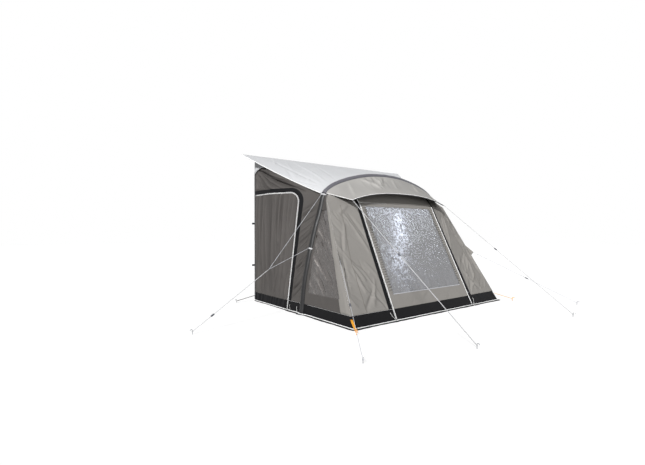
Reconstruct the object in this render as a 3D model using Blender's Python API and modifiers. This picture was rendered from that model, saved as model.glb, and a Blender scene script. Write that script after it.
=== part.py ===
"""Caravan porch awning on one air beam, modelled at its real size in metres.

+X runs along the caravan, -Y points away from it and +Z is up. The ground is z = 0. The awning
is the same on both sides of x = 0, apart from the inflation valve and the guys' pegs.
"""

import math

import bmesh
import bpy
import numpy as np
from mathutils import Matrix, Vector

# Plan and heights.
HALF_WIDTH = 1.65
DEPTH = 2.50
REAR_Y = 1.36
FRONT_Y = REAR_Y - DEPTH
RAIL_HALF = 1.906
RAIL_HEIGHT = 2.44
REAR_SEAM = 0.034

# Cloth panels are closed sheets, a seam's width apart.
CLOTH = 0.003
SEAM = 0.002
MUD_WALL = 0.145
HEM_CLEARANCE = 0.012

# Air beam: the centreline of its right half, crown first, as (x, z).
BEAM_HALF = [
    (0.0, 2.065), (0.36, 2.043), (0.72, 1.974), (1.0, 1.884), (1.17, 1.79), (1.25, 1.69),
    (1.318, 1.44), (1.392, 1.21), (1.459, 0.95), (1.496, 0.81), (1.567, 0.437), (1.61, 0.03),
]
BEAM_RADIUS = 0.05
BEAM_FOOT_Y = REAR_Y - 1.38
BEAM_TOP_Y = REAR_Y - 1.42
SLEEVE_WALL = 0.002
SHOULDER_HEIGHT = 1.72
BANDS = {"shoulder": 1.70, "leg": 0.917}
BAND = 0.0016

# Where the panels are sewn to the sleeve: all one distance off the beam's centreline, and each that
# far out along its normal, towards the sky or the side.
PANEL_OFF_BEAM = 0.057
ROOF_OUT, WALL_OUT = 0.030, 0.025
HOOD_OUT, WING_OUT, HEADER_OUT = 0.026, 0.0, -0.030

# Roof edge and hood.
ROOF_EDGE_BOW = 0.02
ROOF_SAG = 0.03
HOOD_HALF = 1.069
HOOD_Y = REAR_Y - 1.831
HOOD_CORNER_Z = 1.622
HOOD_CROWN = 0.137
HOOD_POLE_RADIUS = 0.006

# Front wall: its lean, the opening panel in it, the corner seams.
LEAN = 0.4827
PANEL_TOP = 1.60
PANEL_HALF_TOP = 0.846
PANEL_HALF_FOOT = 0.888
HEADER_HALF = 0.870
SEAM_TOP = Vector((1.32, REAR_Y - 1.52, 1.75))
SEAM_FOOT = Vector((HALF_WIDTH, FRONT_Y, 0.0))
WINDOW_FOOT, WINDOW_HEAD = 0.32, 1.545
WINDOW_HALF_FOOT, WINDOW_HALF_HEAD = 0.775, 0.745

# Side doors, hinged where the wall meets the caravan.
DOOR_HINGE_Y = REAR_Y - 0.036
DOOR_EDGE_Y = REAR_Y - 1.035
DOOR_TOP = 1.775
DOOR_CORNER = 0.16

# Guys and pegs: the pegs' places, left and right.
GUY_WEB = 0.016
GUY_CORD = 0.005
PEG_RADIUS = 0.004
HOOD_PEGS = {-1: (-1.16, REAR_Y - 3.812), 1: (1.218, REAR_Y - 3.814)}
CORNER_PEGS = {-1: (-2.367, REAR_Y - 3.425), 1: (2.223, REAR_Y - 3.504)}
SIDE_PEGS = {-1: (-3.243, REAR_Y - 1.524), 1: (3.02, REAR_Y - 1.43)}
STRAP_PEGS = [(1.773, REAR_Y - 2.691), (2.0, REAR_Y - 0.05)]
STRAP_CORNERS = [(1.635, FRONT_Y + 0.054, 0.112), (1.656, REAR_Y - 0.020, 0.085)]
STRAP_WIDTH, STRAP_THICKNESS = 0.028, 0.003
PEG_EYE_HEIGHT = 0.034
GUY_KNOT = (2.19, REAR_Y - 1.43, 0.674)
ADJUSTER_LENGTH, ADJUSTER_WALL = 0.045, 0.004

# Rear pads: width, thickness, height and middle, and the heights of their two tabs.
PAD_SIZE = (0.085, 0.030, 2.20)
PAD_X = 1.612
TAB_SIZE = (0.064, 0.030)
TAB_X = 1.668
TAB_HEIGHTS = (0.60, 1.30)

# Colours as they look, each channel from 0 to 255, with roughness and metallic.
FINISHES = {
    "roof_grey": ((206, 207, 208), 0.75, 0.0),
    "wall_grey": ((104, 98, 92), 0.8, 0.0),
    "front_grey": ((150, 147, 141), 0.8, 0.0),
    "hood_grey": ((172, 169, 163), 0.8, 0.0),
    "sleeve_black": ((42, 42, 45), 0.7, 0.0),
    "mud_wall_black": ((45, 45, 48), 0.65, 0.0),
    "clear_film": ((150, 152, 158), 0.15, 0.0),
    "blind_grey": ((140, 140, 140), 0.85, 0.0),
    "bladder": ((235, 235, 230), 0.4, 0.0),
    "white_tape": ((232, 232, 232), 0.7, 0.0),
    "rope_grey": ((185, 185, 188), 0.8, 0.0),
    "buckle_grey": ((72, 74, 82), 0.45, 0.0),
    "strap_orange": ((250, 150, 30), 0.5, 0.0),
    "steel": ((165, 167, 170), 0.35, 1.0),
    "foam_pad": ((70, 70, 72), 0.9, 0.0),
    "valve_plastic": ((30, 30, 32), 0.4, 0.0),
}


def linear(channel):
    """A displayed colour channel, 0 to 255, as linear light."""
    value = channel / 255
    return value / 12.92 if value <= 0.04045 else ((value + 0.055) / 1.055) ** 2.4


def finish(name):
    """The material of that name, made the first time that it is asked for."""
    if name in bpy.data.materials:
        return bpy.data.materials[name]
    colour, roughness, metallic = FINISHES[name]
    material = bpy.data.materials.new(name)
    material.use_nodes = True
    shader = material.node_tree.nodes["Principled BSDF"]
    shader.inputs["Base Color"].default_value = (*map(linear, colour), 1)
    shader.inputs["Roughness"].default_value = roughness
    shader.inputs["Metallic"].default_value = metallic
    material.diffuse_color = (*map(linear, colour), 1)
    return material


def lerp(a, b, t):
    return a + (b - a) * t


def side_name(side):
    return "left" if side < 0 else "right"


def smooth(points, steps):
    """Points on a Catmull-Rom curve through the given ones, with that many steps to a span."""
    knots = [Vector(p) for p in points]
    knots = [2 * knots[0] - knots[1], *knots, 2 * knots[-1] - knots[-2]]
    out = []
    for a, b, c, d in zip(knots, knots[1:], knots[2:], knots[3:]):
        for k in range(steps):
            t = k / steps
            bend = (2 * a - 5 * b + 4 * c - d) * t * t + (3 * b - a - 3 * c + d) * t**3
            out.append((2 * b + (c - a) * t + bend) / 2)
    return [*out, knots[-2]]


def keep(obj, name, colour):
    """Name an object, give it its finish and put it with the awning's other pieces."""
    obj.name = name
    obj.data.name = name
    obj.data.materials.clear()
    obj.data.materials.append(finish(colour))
    for collection in list(obj.users_collection):
        collection.objects.unlink(obj)
    AWNING.objects.link(obj)
    return obj


def frame_along(origin, direction, up=Vector((0, 0, 1))):
    """A matrix at origin whose Z runs along direction and whose X is level."""
    z = Vector(direction).normalized()
    x = up.cross(z).normalized()
    matrix = Matrix((x, z.cross(x), z)).transposed().to_4x4()
    matrix.translation = origin
    return matrix


def cloth(name, colour, shape, columns, rows, thickness=CLOTH, hole=None, pivot=(0, 0, 0)):
    """A sheet of cloth or film: shape(u, v) places a grid, u and v from 0 to 1, and it is thickened.

    hole is the part of the grid left open, as ((u, u), (v, v)); pivot is the object's origin.
    """
    grid = bmesh.new()
    bmesh.ops.create_grid(grid, x_segments=columns, y_segments=rows, size=0.5)
    if hole:
        (u_low, u_high), (v_low, v_high) = hole
        inside = [
            face for face in grid.faces
            if u_low < face.calc_center_median().x + 0.5 < u_high
            and v_low < face.calc_center_median().y + 0.5 < v_high
        ]
        bmesh.ops.delete(grid, geom=inside, context="FACES")
    for vert in grid.verts:
        vert.co = Vector(shape(vert.co.x + 0.5, vert.co.y + 0.5)) - Vector(pivot)
    mesh = bpy.data.meshes.new(name)
    grid.to_mesh(mesh)
    grid.free()
    mesh.shade_smooth()
    obj = bpy.data.objects.new(name, mesh)
    obj.location = pivot
    shell = obj.modifiers.new("thickness", "SOLIDIFY")
    shell.thickness = thickness
    shell.offset = 0
    return keep(obj, name, colour)


def as_mesh(obj):
    """The mesh object that a curve's evaluated shape makes, its caps welded."""
    bpy.context.view_layer.update()
    evaluated = obj.evaluated_get(bpy.context.evaluated_depsgraph_get())
    mesh = bpy.data.meshes.new_from_object(evaluated)
    work = bmesh.new()
    work.from_mesh(mesh)
    bmesh.ops.remove_doubles(work, verts=work.verts, dist=0.00001)
    work.to_mesh(mesh)
    work.free()
    made = bpy.data.objects.new(obj.name, mesh)
    made.matrix_world = obj.matrix_world.copy()
    AWNING.objects.link(made)
    bpy.data.objects.remove(obj)
    return made


def stand(obj, colour):
    """Cut a piece's foot flat on the ground, where its thickness would tip below it."""
    name, lowest = obj.name, 0.004
    made = as_mesh(obj)
    for vert in made.data.vertices:
        if vert.co.z < lowest:
            vert.co.z = 0
    return keep(made, name, colour)


def line_curve(name, points, radius, sides_step=2, caps=True, web=0.0):
    """A tube along points; with web it is a flat strap of that width."""
    curve = bpy.data.curves.new(name, "CURVE")
    curve.dimensions = "3D"
    curve.bevel_depth = radius
    curve.bevel_resolution = sides_step
    curve.use_fill_caps = caps
    if web:
        curve.extrude = web / 2 - radius
        curve.twist_mode = "Z_UP"
    spline = curve.splines.new("POLY")
    spline.points.add(len(points) - 1)
    for point, place in zip(spline.points, points):
        point.co = (*place, 1)
        point.tilt = math.pi / 2 if web else 0
    obj = bpy.data.objects.new(name, curve)
    AWNING.objects.link(obj)
    return obj


def tube(name, colour, points, radius, **options):
    return keep(line_curve(name, points, radius, **options), name, colour)


def flat(name, colour, outlines, thickness, matrix):
    """A flat piece: closed outlines in the matrix's XY plane, the first filled, the others holes."""
    curve = bpy.data.curves.new(name, "CURVE")
    curve.dimensions = "2D"
    curve.fill_mode = "BOTH"
    curve.extrude = thickness / 2
    for outline in outlines:
        spline = curve.splines.new("POLY")
        spline.points.add(len(outline) - 1)
        for point, (x, y) in zip(spline.points, outline):
            point.co = (x, y, 0, 1)
        spline.use_cyclic_u = True
    obj = bpy.data.objects.new(name, curve)
    obj.matrix_world = matrix
    return keep(obj, name, colour)


def turned(name, colour, profile, matrix, steps=16):
    """A turned piece: the profile's (radius, height) points run down its outer side."""
    mesh = bpy.data.meshes.new(name)
    edges = [(i, i + 1) for i in range(len(profile) - 1)]
    mesh.from_pydata([(r, 0, z) for r, z in profile], edges, [])
    obj = bpy.data.objects.new(name, mesh)
    obj.matrix_world = matrix
    screw = obj.modifiers.new("turn", "SCREW")
    screw.steps = steps
    screw.render_steps = steps
    screw.use_merge_vertices = True
    screw.merge_threshold = 0.00005
    screw.use_normal_calculate = False
    return keep(obj, name, colour)


def fuse(obj, operands):
    """Join solids that overlap obj onto it; the operands stay behind as guides."""
    for operand in operands:
        for collection in list(operand.users_collection):
            collection.objects.unlink(operand)
        GUIDES.objects.link(operand)
        operand.hide_render = True
        operand.display_type = "WIRE"
        union = obj.modifiers.new("join", "BOOLEAN")
        union.operation = "UNION"
        union.object = operand
    return obj


def rounded(width, height, radius, steps=3):
    """A rectangle with round corners, centred on the origin."""
    corners = [(1, 1, 0), (-1, 1, 90), (-1, -1, 180), (1, -1, 270)]
    return [
        (
            sx * (width / 2 - radius) + radius * math.cos(math.radians(start + 90 * k / steps)),
            sy * (height / 2 - radius) + radius * math.sin(math.radians(start + 90 * k / steps)),
        )
        for sx, sy, start in corners
        for k in range(steps + 1)
    ]


# The beam's right half as sampled places, with their outward normals and lengths from the crown.
BEAM_XZ = np.array([tuple(p) for p in smooth([(x, z, 0) for x, z in BEAM_HALF], 2)])[:, :2]
BEAM_LONG = np.concatenate([[0], np.cumsum(np.linalg.norm(np.diff(BEAM_XZ, axis=0), axis=1))])
BEAM_DIR = np.gradient(BEAM_XZ, BEAM_LONG, axis=0)
BEAM_DIR /= np.linalg.norm(BEAM_DIR, axis=1)[:, None]


def beam_y(z):
    return lerp(BEAM_FOOT_Y, BEAM_TOP_Y, min(z / SHOULDER_HEIGHT, 1))


def beam_at(long, side, out=0.0, across=0.0):
    """A place by the beam: long metres from the crown, out along its normal, across along Y."""
    x, z = (np.interp(long, BEAM_LONG, BEAM_XZ[:, k]) for k in (0, 1))
    dx, dz = (np.interp(long, BEAM_LONG, BEAM_DIR[:, k]) for k in (0, 1))
    x, z = x - dz * out, z + dx * out
    return Vector((side * x, beam_y(z) + across, z))


def beam_long_at_height(z):
    return float(np.interp(-z, -BEAM_XZ[:, 1], BEAM_LONG))


def beam_long_at_x(x):
    return float(np.interp(abs(x), BEAM_XZ[:, 0], BEAM_LONG))


SHOULDER = beam_long_at_height(SHOULDER_HEIGHT)


def off_beam(out, front=False):
    """How far along Y a panel's edge keeps off the beam's centreline, at that height on it."""
    gap = math.sqrt(PANEL_OFF_BEAM**2 - out**2)
    return -gap if front else gap


SEAM_HEAD = beam_at(SHOULDER, 1, WING_OUT, off_beam(WING_OUT, front=True))


def roof(u, s):
    """The roof: u runs from -1 to 1 across, s from 0 at the rail to 1 at the beam."""
    rail = Vector((RAIL_HALF * u, REAR_Y - REAR_SEAM, RAIL_HEIGHT))
    arch = beam_at(abs(u) * SHOULDER, math.copysign(1, u), ROOF_OUT, off_beam(ROOF_OUT))
    place = rail.lerp(arch, s)
    mid = 4 * s * (1 - s)
    place.x *= 1 - ROOF_EDGE_BOW / RAIL_HALF * mid
    place.z -= ROOF_SAG * mid
    return place


def roof_height(x, y):
    """The roof's height over a place on the ground."""
    low, high = 0.0, 1.0
    for _ in range(24):
        u = (low + high) / 2
        s = (REAR_Y - REAR_SEAM - y) / (REAR_Y - REAR_SEAM - roof(u, 1).y)
        low, high = (u, high) if roof(u, s).x < abs(x) else (low, u)
    return roof(u, s).z


def wall_top(y):
    """The right side wall's top under the roof, as (x, z)."""
    s = (REAR_Y - REAR_SEAM - y) / (REAR_Y - REAR_SEAM - roof(1, 1).y)
    x = min(HALF_WIDTH, roof(1, min(s, 1)).x - 0.008)
    return x, roof_height(x, y) - 0.010


def column_x(y, z):
    """The side wall stands in straight columns from the ground line to the roof's edge."""
    x, top = wall_top(y)
    return lerp(HALF_WIDTH, x, z / top)


def wall_front_edge(z):
    return beam_at(beam_long_at_height(z), 1, WALL_OUT, off_beam(WALL_OUT))


def wall_x(y, z):
    """The side wall's x on the right, from the caravan to the beam."""
    if y > DOOR_EDGE_Y:
        return column_x(y, z)
    edge = wall_front_edge(z)
    f = min((DOOR_EDGE_Y - y) / (DOOR_EDGE_Y - edge.y), 1)
    return lerp(column_x(y, z), edge.x, f * f)


def door_head(u, off=0.0):
    """The door's top edge and its round front corner, as (y, z), off metres outside the line."""
    bend = 0.6
    middle = DOOR_EDGE_Y + DOOR_CORNER
    if u < bend:
        return lerp(DOOR_HINGE_Y, middle, u / bend), DOOR_TOP + off
    turn = math.radians(90) * (u - bend) / (1 - bend)
    reach = DOOR_CORNER + off
    return middle - reach * math.sin(turn), DOOR_TOP - DOOR_CORNER + reach * math.cos(turn)


def front_y(z):
    return FRONT_Y + LEAN * z


def mirrored(shape, side):
    def placed(u, v):
        x, y, z = shape(u, v)
        return Vector((side * x, y, z))
    return placed


def fade(t):
    """One in the middle and nothing at both ends, so that folds leave the seams straight."""
    return math.sin(math.pi * min(max(t, 0), 1)) ** 0.6


def make_roof():
    def shape(u, v):
        return roof(2 * u - 1, v)

    cloth("roof_panel", "roof_grey", shape, 20, 7)
    tail = [(-0.031, -0.0012), (-0.008, -0.0012)]
    bead = [
        (-0.0045 + 0.0040 * math.cos(a), 0.0040 * math.sin(a))
        for a in (math.radians(-140 + 280 * k / 8) for k in range(9))
    ]
    outline = [*tail, *bead, (-0.008, 0.0012), (-0.031, 0.0012)]
    along = Matrix.Rotation(math.radians(90), 4, "Z") @ Matrix.Rotation(math.radians(90), 4, "X")
    along.translation = (0, REAR_Y, RAIL_HEIGHT)
    flat("kador_strip", "white_tape", [outline], 2 * RAIL_HALF, along)


def hood(u, v):
    """The hood: u from -1 to 1 across, v from 0 at the beam to 1 at its front edge.

    Its seam is HOOD_OUT out at the shoulders and level with the beam's centreline in the middle.
    """
    out = HOOD_OUT * abs(u) ** 6
    seam = off_beam(out, front=True)
    start = beam_at(abs(u) * SHOULDER, math.copysign(1, u), out, seam)
    rise = HOOD_CROWN * (1 - abs(u) ** 2.6)
    edge = Vector((HOOD_HALF * u, HOOD_Y, HOOD_CORNER_Z + rise))
    return start.lerp(edge, v)


def make_hood():
    def shape(u, v):
        place = hood(2 * u - 1, v)
        left_of_mid = math.exp(-(((u - 0.42) / 0.12) ** 2))
        gathers = 0.010 * left_of_mid * math.sin(50 * u + 4 * v) * fade(v) * fade(u)
        return place + Vector((0, -0.5, 0.85)) * (gathers - 0.005 * fade(v))

    cloth("hood_canopy", "hood_grey", shape, 26, 5)
    under = HOOD_POLE_RADIUS + CLOTH / 2 + 0.0005
    steps = 20
    reach = 0.985
    arc = [hood(reach * lerp(-1, 1, k / steps), 1) for k in range(steps + 1)]
    points = [p + Vector((0, 0.004, -under)) for p in arc]
    tube("hood_pole", "steel", points, HOOD_POLE_RADIUS)


def make_beam():
    foot = Vector((BEAM_HALF[-1][0], beam_y(0), 0))
    half = [Vector((x, beam_y(z), z)) for x, z in BEAM_XZ] + [foot]
    line = [Vector((-p.x, p.y, p.z)) for p in reversed(half[1:])] + half
    skin = as_mesh(line_curve("air_beam_sleeve", line, BEAM_RADIUS, sides_step=4, caps=False))
    skin.data.shade_smooth()
    wall = skin.modifiers.new("wall", "SOLIDIFY")
    wall.thickness = SLEEVE_WALL
    wall.offset = -1
    skin.name = "air_beam_sleeve"
    stand(skin, "sleeve_black")
    inset = 0.004
    air = [Vector((p.x, p.y, max(p.z, inset))) for p in line]
    tube("air_beam_bladder", "bladder", air, BEAM_RADIUS - SLEEVE_WALL - inset, sides_step=2)


def make_valve():
    """The inflation valve is inside, low on the left leg, with its screw cap."""
    long = beam_long_at_height(0.36)
    seat = beam_at(long, -1, -BEAM_RADIUS - 0.0008)
    middle = beam_at(long, -1)
    matrix = frame_along(seat, seat - middle)
    stem = [
        (0, 0.016), (0.011, 0.016), (0.013, 0.014), (0.013, 0.004),
        (0.022, 0.003), (0.022, 0), (0, 0),
    ]
    turned("inflation_valve", "valve_plastic", stem, matrix)
    cap_at = matrix @ Matrix.Translation((0, 0, 0.0165))
    cap = [(0, 0.012), (0.014, 0.012), (0.016, 0.010), (0.016, 0), (0, 0)]
    turned("valve_cap", "valve_plastic", cap, cap_at, steps=12)


def make_beam_bands(side):
    """Webbing bands round the outside of the beam, where the side guys are tied."""
    for part, height in BANDS.items():
        middle = beam_long_at_height(height)

        def band(u, v, middle=middle):
            turn = math.radians(lerp(-42, 42, u))
            radius = BEAM_RADIUS + BAND / 2 + 0.0025
            long = middle + lerp(-0.016, 0.016, v)
            return beam_at(long, side, radius * math.cos(turn), radius * math.sin(turn))

        cloth(f"{side_name(side)}_{part}_band", "white_tape", band, 6, 1, thickness=BAND)


def band_eye(part, side):
    """Where a guy is tied to a band."""
    return beam_at(beam_long_at_height(BANDS[part]), side, BEAM_RADIUS + 0.008)


def make_side_wall(side):
    name = side_name(side)

    def door(u, v):
        y, top = door_head(u, -SEAM)
        z = lerp(HEM_CLEARANCE, top, v)
        along = (DOOR_HINGE_Y - y) / (DOOR_HINGE_Y - DOOR_EDGE_Y)
        pleat = 0.009 * math.sin(41 * along + 1.2 * v) + 0.004 * math.sin(31 * along - 2 * v)
        return column_x(y, z) + pleat * fade(along) * fade(v), y, z

    hinge = Vector((side * HALF_WIDTH, DOOR_HINGE_Y, 0))
    cloth(f"{name}_door", "wall_grey", mirrored(door, side), 26, 6, pivot=hinge)

    upper_rows = 4 / 9

    def over_door(u, v):
        y, foot = door_head(u, SEAM)
        z = lerp(foot, wall_top(y)[1], v)
        fan = 0.006 * math.sin(20 * (u + 0.6 * v)) * fade(u) * fade(v)
        return column_x(y, z) + fan, y, z

    def by_beam(u, v):
        foot = MUD_WALL + SEAM
        near_y, corner = door_head(1, SEAM)
        if v <= 1 - upper_rows:
            near_z = lerp(foot, corner, v / (1 - upper_rows))
        else:
            near_z = lerp(corner, wall_top(near_y)[1], (v - 1 + upper_rows) / upper_rows)
        far = wall_front_edge(lerp(foot, SHOULDER_HEIGHT - 0.03, v))
        y, z = lerp(near_y, far.y, u), lerp(near_z, far.z, u)
        return wall_x(y, z), y, z

    wall = cloth(f"{name}_side_wall", "wall_grey", mirrored(over_door, side), 12, 4)
    panel = cloth("by_beam", "wall_grey", mirrored(by_beam, side), 6, 9)
    weld(wall, panel)


def weld(sheet, other):
    """Join another open sheet to a sheet along the edge that they share."""
    work = bmesh.new()
    for mesh in (sheet.data, other.data):
        work.from_mesh(mesh)
    bmesh.ops.remove_doubles(work, verts=work.verts, dist=0.0003)
    bmesh.ops.recalc_face_normals(work, faces=work.faces)
    work.to_mesh(sheet.data)
    work.free()
    bpy.data.objects.remove(other)


def seam_at(z):
    """The corner seam between the side and the front: straight, then drawn in to the beam."""
    if z <= PANEL_TOP:
        return SEAM_FOOT.lerp(SEAM_TOP, z / SEAM_TOP.z)
    return seam_at(PANEL_TOP).lerp(SEAM_HEAD, (z - PANEL_TOP) / (SEAM_HEAD.z - PANEL_TOP))


def make_front_corner(side):
    """The side panel with its window, the front wing beside it and the mud walls under both."""
    name = side_name(side)
    top = 1.64

    def side_panel(u, v):
        z = lerp(MUD_WALL + SEAM, top, v)
        rear = beam_at(beam_long_at_height(z), 1, WALL_OUT, off_beam(WALL_OUT, front=True))
        seam = seam_at(z) + Vector((-0.0015, 0.0045, 0))
        x, y, z = rear.lerp(seam, u)
        crease = 0.007 * math.sin(24 * (u + 0.8 * v)) * fade(u) * fade(v)
        return x + crease, y, z

    columns, rows = 12, 9
    hole = ((1 / columns, 10 / columns), (1 / rows, 8 / rows))
    cloth(f"{name}_side_panel", "wall_grey", mirrored(side_panel, side), columns, rows, hole=hole)

    def film(u, v):
        (u_low, u_high), (v_low, v_high) = hole
        edge_u, edge_v = 0.006, 0.003
        return side_panel(
            lerp(u_low + edge_u, u_high - edge_u, u), lerp(v_low + edge_v, v_high - edge_v, v)
        )

    cloth(
        f"{name}_side_window", "clear_film", mirrored(film, side), 8, 10, thickness=0.0016
    )

    def wing(u, v):
        knee = 0.78
        foot_z = MUD_WALL + SEAM
        foot = panel_edge(foot_z).lerp(seam_at(foot_z), u)
        head = panel_edge(PANEL_TOP).lerp(seam_at(PANEL_TOP), u)
        if v < knee:
            place = foot.lerp(head, v / knee)
        else:
            out = lerp(HEADER_OUT, WING_OUT, u)
            long = lerp(beam_long_at_x(HEADER_HALF), SHOULDER, u)
            beam = beam_at(long, 1, out, off_beam(out, front=True))
            place = head.lerp(beam, (v - knee) / (1 - knee))
        crease = 0.006 * math.sin(22 * (0.5 * u + v)) * fade(u) * fade(v / knee if v < knee else 0)
        inset = Vector((lerp(SEAM, -SEAM, u), -0.0035 * u, 0))
        return place + inset + Vector((0, -0.9, 0.43)) * crease

    panel = cloth(f"{name}_front_wing", "front_grey", mirrored(wing, side), 10, 14)
    fuse(panel, [storm_tab(side)])
    make_mud_walls(side)


def storm_tab(side):
    """The cloth tab on a corner seam that the corner guy pulls on."""
    tip = storm_tab_tip(side)

    def shape(u, v):
        root = seam_at(lerp(0.74, 0.93, u)) + Vector((-0.02, -0.006, 0))
        root.x *= side
        return root.lerp(tip + Vector((0, 0, lerp(-0.008, 0.008, u))), v)

    return cloth("storm_tab", "front_grey", shape, 1, 3, thickness=0.0034)


def panel_edge(z):
    """The front opening panel's edge, beside which its zip runs."""
    x = lerp(PANEL_HALF_FOOT, PANEL_HALF_TOP, z / PANEL_TOP)
    return Vector((x, front_y(z), z))


def make_mud_walls(side):
    """Mud wall strips stand on the ground, from the door to the beam and on round the corner."""
    def rear_strip(u, v):
        z = lerp(0, MUD_WALL, v)
        y = lerp(DOOR_EDGE_Y - SEAM, wall_front_edge(z).y, u)
        return wall_x(y, z), y, z

    def corner_strip(u, v):
        z = lerp(0, MUD_WALL, v)
        corner = seam_at(z)
        if u < 0.5:
            start = beam_at(beam_long_at_height(z), 1, WALL_OUT, off_beam(WALL_OUT, front=True))
            return start.lerp(corner, 2 * u)
        end = panel_edge(z) + Vector((SEAM, 0, 0))
        return corner.lerp(end, 2 * u - 1)

    name = side_name(side)
    rear = cloth(f"{name}_rear_mud_wall", "mud_wall_black", mirrored(rear_strip, side), 2, 1)
    front = cloth(f"{name}_front_mud_wall", "mud_wall_black", mirrored(corner_strip, side), 8, 1)
    for strip in (rear, front):
        strip.modifiers["thickness"].use_even_offset = True
        stand(strip, "mud_wall_black")


def make_front():
    """The fixed header and the opening panel below it, hung from its top edge."""
    def header(u, v):
        across = 2 * u - 1
        x = (HEADER_HALF - SEAM) * across
        foot_x = (PANEL_HALF_TOP - SEAM) * across
        foot = Vector((foot_x, front_y(PANEL_TOP + SEAM), PANEL_TOP + SEAM))
        seam = off_beam(HEADER_OUT, front=True)
        head = beam_at(beam_long_at_x(x), math.copysign(1, x), HEADER_OUT, seam)
        return foot.lerp(head, v)

    cloth("front_header", "front_grey", header, 14, 2)

    hang = Vector((0, front_y(PANEL_TOP), PANEL_TOP - SEAM))
    slope = Vector((0, LEAN, 1)).normalized()
    plane = Matrix((Vector((1, 0, 0)), slope, Vector((1, 0, 0)).cross(slope))).transposed().to_4x4()
    plane.translation = hang
    down = (hang.z - HEM_CLEARANCE) / slope.z
    outline = [
        (-PANEL_HALF_TOP + SEAM, 0), (-PANEL_HALF_FOOT + SEAM, -down),
        (PANEL_HALF_FOOT - SEAM, -down), (PANEL_HALF_TOP - SEAM, 0),
    ]
    flat("front_panel", "front_grey", [outline, window_outline(0)], CLOTH, plane)
    flat("front_window", "clear_film", [window_outline(0.0008)], 0.0012, plane)

    def blind(u, v):
        half = lerp(0.810, 0.785, v)
        z = lerp(0.255, 1.575, v)
        wave = 0.003 * math.sin(2 * math.pi * 5 * u) * fade(u) * fade(v)
        behind = slope.cross(Vector((1, 0, 0))) * (CLOTH + 0.006 + wave)
        return Vector((half * (2 * u - 1), front_y(z), z)) + behind

    cloth("front_blind", "blind_grey", blind, 20, 3, thickness=0.002, pivot=hang)


def window_outline(inset):
    """The front window's outline in the panel's plane, with round corners."""
    per_height = math.sqrt(1 + LEAN**2)
    low = (WINDOW_FOOT - PANEL_TOP + SEAM) * per_height + inset
    high = (WINDOW_HEAD - PANEL_TOP + SEAM) * per_height - inset
    radius = 0.05
    middle = (low + high) / 2
    points = []
    for x, y in rounded(2 * WINDOW_HALF_FOOT - 2 * inset, high - low, radius):
        taper = lerp(1, WINDOW_HALF_HEAD / WINDOW_HALF_FOOT, (y + middle - low) / (high - low))
        points.append((x * taper, y + middle))
    return points


def make_zip_sliders(side):
    """Each zip's slider sits on the fixed side of its zip, at the foot, and runs up beside it."""
    name = side_name(side)
    beside, foot_z, head_z = 0.012, 0.19, 1.5
    y = DOOR_EDGE_Y - beside
    foot, head = (Vector((column_x(y, z), y, z)) for z in (foot_z, head_z))
    out = Vector((0, -1, 0)).cross(head - foot).normalized()
    slider(f"{name}_door_zip_slider", foot, head, out, side)

    foot, head = (panel_edge(z) + Vector((beside, 0, 0)) for z in (foot_z, head_z))
    out = Vector((1, 0, 0)).cross(head - foot).normalized()
    slider(f"{name}_front_zip_slider", foot, head, out, side)


def slider(name, foot, head, out, side):
    """A zip slider off the cloth at foot; the mirrored side's frame is made right-handed."""
    outline = [
        (-0.006, -0.014), (0.006, -0.014), (0.0075, 0.002),
        (0.004, 0.012), (-0.004, 0.012), (-0.0075, 0.002),
    ]
    off_cloth, thick = 0.0100, 0.006
    run = (head - foot).normalized()
    matrix = Matrix((run.cross(out), run, out)).transposed().to_4x4()
    matrix.translation = foot + out * off_cloth
    matrix = Matrix.Scale(side, 4, (1, 0, 0)) @ matrix
    if matrix.determinant() < 0:
        matrix = matrix @ Matrix.Scale(-1, 4, (1, 0, 0))
    flat(name, "buckle_grey", [outline], thick, matrix)


def make_rear_pad(side):
    """A foam pad seals the wall's rear edge to the caravan, held to it by two sewn tabs."""
    middle = (side * PAD_X, REAR_Y - PAD_SIZE[1] / 2, PAD_SIZE[2] / 2)
    bpy.ops.mesh.primitive_cube_add(size=1, location=middle, scale=PAD_SIZE)
    pad = bpy.context.object
    bpy.ops.object.transform_apply(location=False, rotation=False, scale=True)
    soft = pad.modifiers.new("round", "BEVEL")
    soft.width = 0.008
    soft.segments = 2
    keep(pad, f"{side_name(side)}_rear_pad", "foam_pad")
    tabs = []
    for tab_height in TAB_HEIGHTS:
        place = Matrix.Translation((side * TAB_X, REAR_Y - 0.012, tab_height))
        turn = Matrix.Rotation(math.radians(90), 4, "X")
        outline = rounded(*TAB_SIZE, 0.007)
        tabs.append(as_mesh(flat("tab", "buckle_grey", [outline], 0.004, place @ turn)))
    fuse(pad, tabs)


def storm_tab_tip(side):
    return Vector((side * 1.534, REAR_Y - 2.112, 0.80))


def hood_corner(side):
    """Where a hood guy starts, just off the hood's corner."""
    corner = Vector((side * HOOD_HALF, HOOD_Y, HOOD_CORNER_Z))
    return corner + guy_direction(corner, HOOD_PEGS[side]) * 0.006


def guy_direction(start, peg):
    return (Vector((*peg, PEG_EYE_HEIGHT)) - start).normalized()


def peg(place, lean):
    """The part of a peg above the ground, its hook turned away from the awning."""
    base = Vector((*place, 0))
    out = Vector((*lean, 0)).normalized()
    shaft = [(0, 0), (0, 0.045), (0.006, 0.056), (0.016, 0.060), (0.026, 0.054), (0.029, 0.044)]
    points = [base + out * reach + Vector((0, 0, height)) for reach, height in shaft]
    return line_curve("peg", points, PEG_RADIUS, sides_step=2)


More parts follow.
